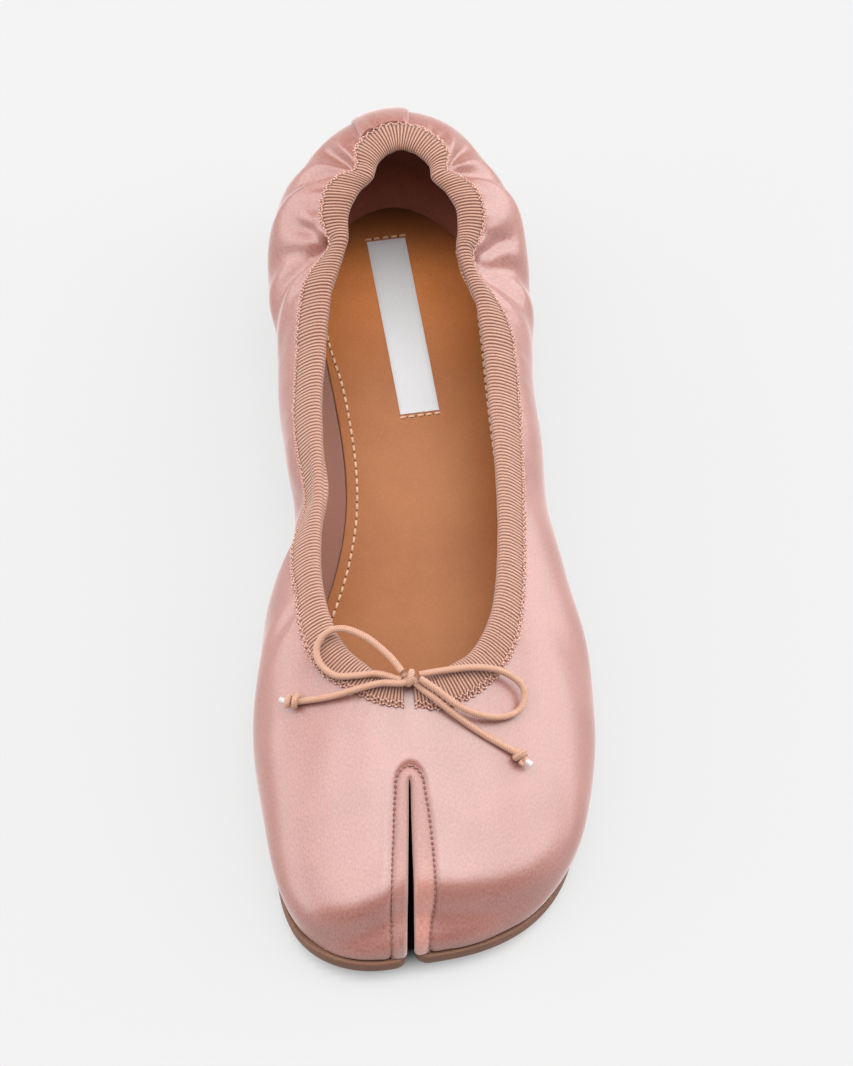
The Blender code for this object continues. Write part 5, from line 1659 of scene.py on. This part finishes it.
xs, ys = paper_lines(0.07, 0.0), paper_lines(0.14, 0.06)
ground = np.stack([*np.meshgrid(xs, ys, indexing="ij"), np.zeros((len(xs), len(ys)))], -1)
in_x, in_y = np.meshgrid(np.minimum(np.arange(len(xs)), np.arange(len(xs))[::-1]),
                         np.minimum(np.arange(len(ys)), np.arange(len(ys))[::-1]), indexing="ij")
ground[..., 2] = np.interp(np.minimum(in_x, in_y), range(len(SWEEP)), SWEEP)
ground = ground.reshape(-1, 3)
print("paper floor:", len(ground), "points")
rim_stations = np.linspace(0, STATIONS, 512, endpoint=False)
rim = edge_points(rim_stations, SOLE_LIP)
rim_out = outward(foot_curve, rim_stations)
gaps = np.linalg.norm(ground[:, None, :2] - rim[None], axis=-1)
nearest = gaps.argmin(1)
outside_rim = np.sign(np.sum((ground[:, :2] - rim[nearest]) * rim_out[nearest], -1))
# painted shadow: no glow from 8 mm inside the shoe's edge, full glow 1 mm outside it
glow = smoothstep(-8 * MM, 1 * MM, gaps.min(1) * outside_rim)

floor_mesh = bpy.data.meshes.new("paper_floor")
floor_mesh.from_pydata(ground.tolist(), [], grid_quads(len(xs), len(ys)).tolist())
floor_mesh.attributes.new("glow", "FLOAT", "POINT").data.foreach_set(
    "value", glow.astype(np.float32))
paper, tree, shader = start_material("pale matt paper", Roughness=0.95, IOR=1.45,
                                     Specular_IOR_Level=0.1, Emission_Strength=0.70)
lit = add(tree, "ShaderNodeAttribute", attribute_name="glow").outputs["Fac"]
# painted shadow: the paper's colour and, below, its glow go dark under the shoe
cover(tree, shader, lit, "201a18", "5a5a5a")
tone = add(tree, "ShaderNodeMix", {0: lit, 6: linear("000000"), 7: linear("ffffff")},
           data_type="RGBA")
tree.links.new(tone.outputs[2], shader.inputs["Emission Color"])
floor_mesh.materials.append(paper)
floor = bpy.data.objects.new("paper_floor", floor_mesh)
bpy.context.scene.collection.objects.link(floor)

# %% [markdown]
# ## Light
# Satin is lit in a tent of large soft boxes, because its gloss mirrors them: a broad box gives
# the long soft highlight along the vamp.  The overhead box is a little brighter in its middle,
# which reaches the insole through the collar, and in its right half.  A small box behind and
# two low walls light the heel and the sides, and the room's own light is very weak, so the
# turned-down toe stays deep pink.

# %% Lights and the room
LIGHTS = [
    # name, width and depth in m, power in W, place, what it points at
    ("overhead soft box", (4.2, 1.2), 45.0, (0.5, -0.12, 1.5), (0.5, -0.05, 0)),
    ("right half of the box", (1.8, 1.2), 5.5, (1.2, -0.12, 1.45), (1.2, -0.05, 0)),
    ("bright middle of the box", (0.6, 1.2), 3.8, (0.0, -0.12, 1.45), (0.0, -0.05, 0)),
    ("rear soft box", (1.4, 0.7), 5.0, (0.0, 0.8, 1.4), (0.0, 0.05, 0)),
    ("right wall", (2.2, 1.5), 34.0, (1.8, 0.95, 0.75), (0, 0.2, 0.02)),
    ("left wall", (2.8, 1.3), 30.0, (-1.7, 0.35, 0.7), (0, 0.1, 0.02)),
]


def soft_light(name, size, power, place, aim):
    """Soft box that points from a place to an aim."""
    data = bpy.data.lights.new(name, "AREA")
    data.shape = "RECTANGLE"
    data.size, data.size_y = size
    data.energy = power
    light = bpy.data.objects.new(name, data)
    light.location = place
    light.rotation_mode = "QUATERNION"
    light.rotation_quaternion = (Vector(aim) - Vector(place)).to_track_quat("-Z", "Y")
    bpy.context.scene.collection.objects.link(light)


for light in LIGHTS:
    soft_light(*light)
room = bpy.data.worlds.new("room")
room.use_nodes = True
room.node_tree.nodes["Background"].inputs["Color"].default_value = linear("ffffff")
room.node_tree.nodes["Background"].inputs["Strength"].default_value = 0.1
bpy.context.scene.world = room
bpy.context.scene.view_settings.view_transform = "Standard"
bpy.context.scene.view_settings.look = "None"
print("lights:", len(LIGHTS))
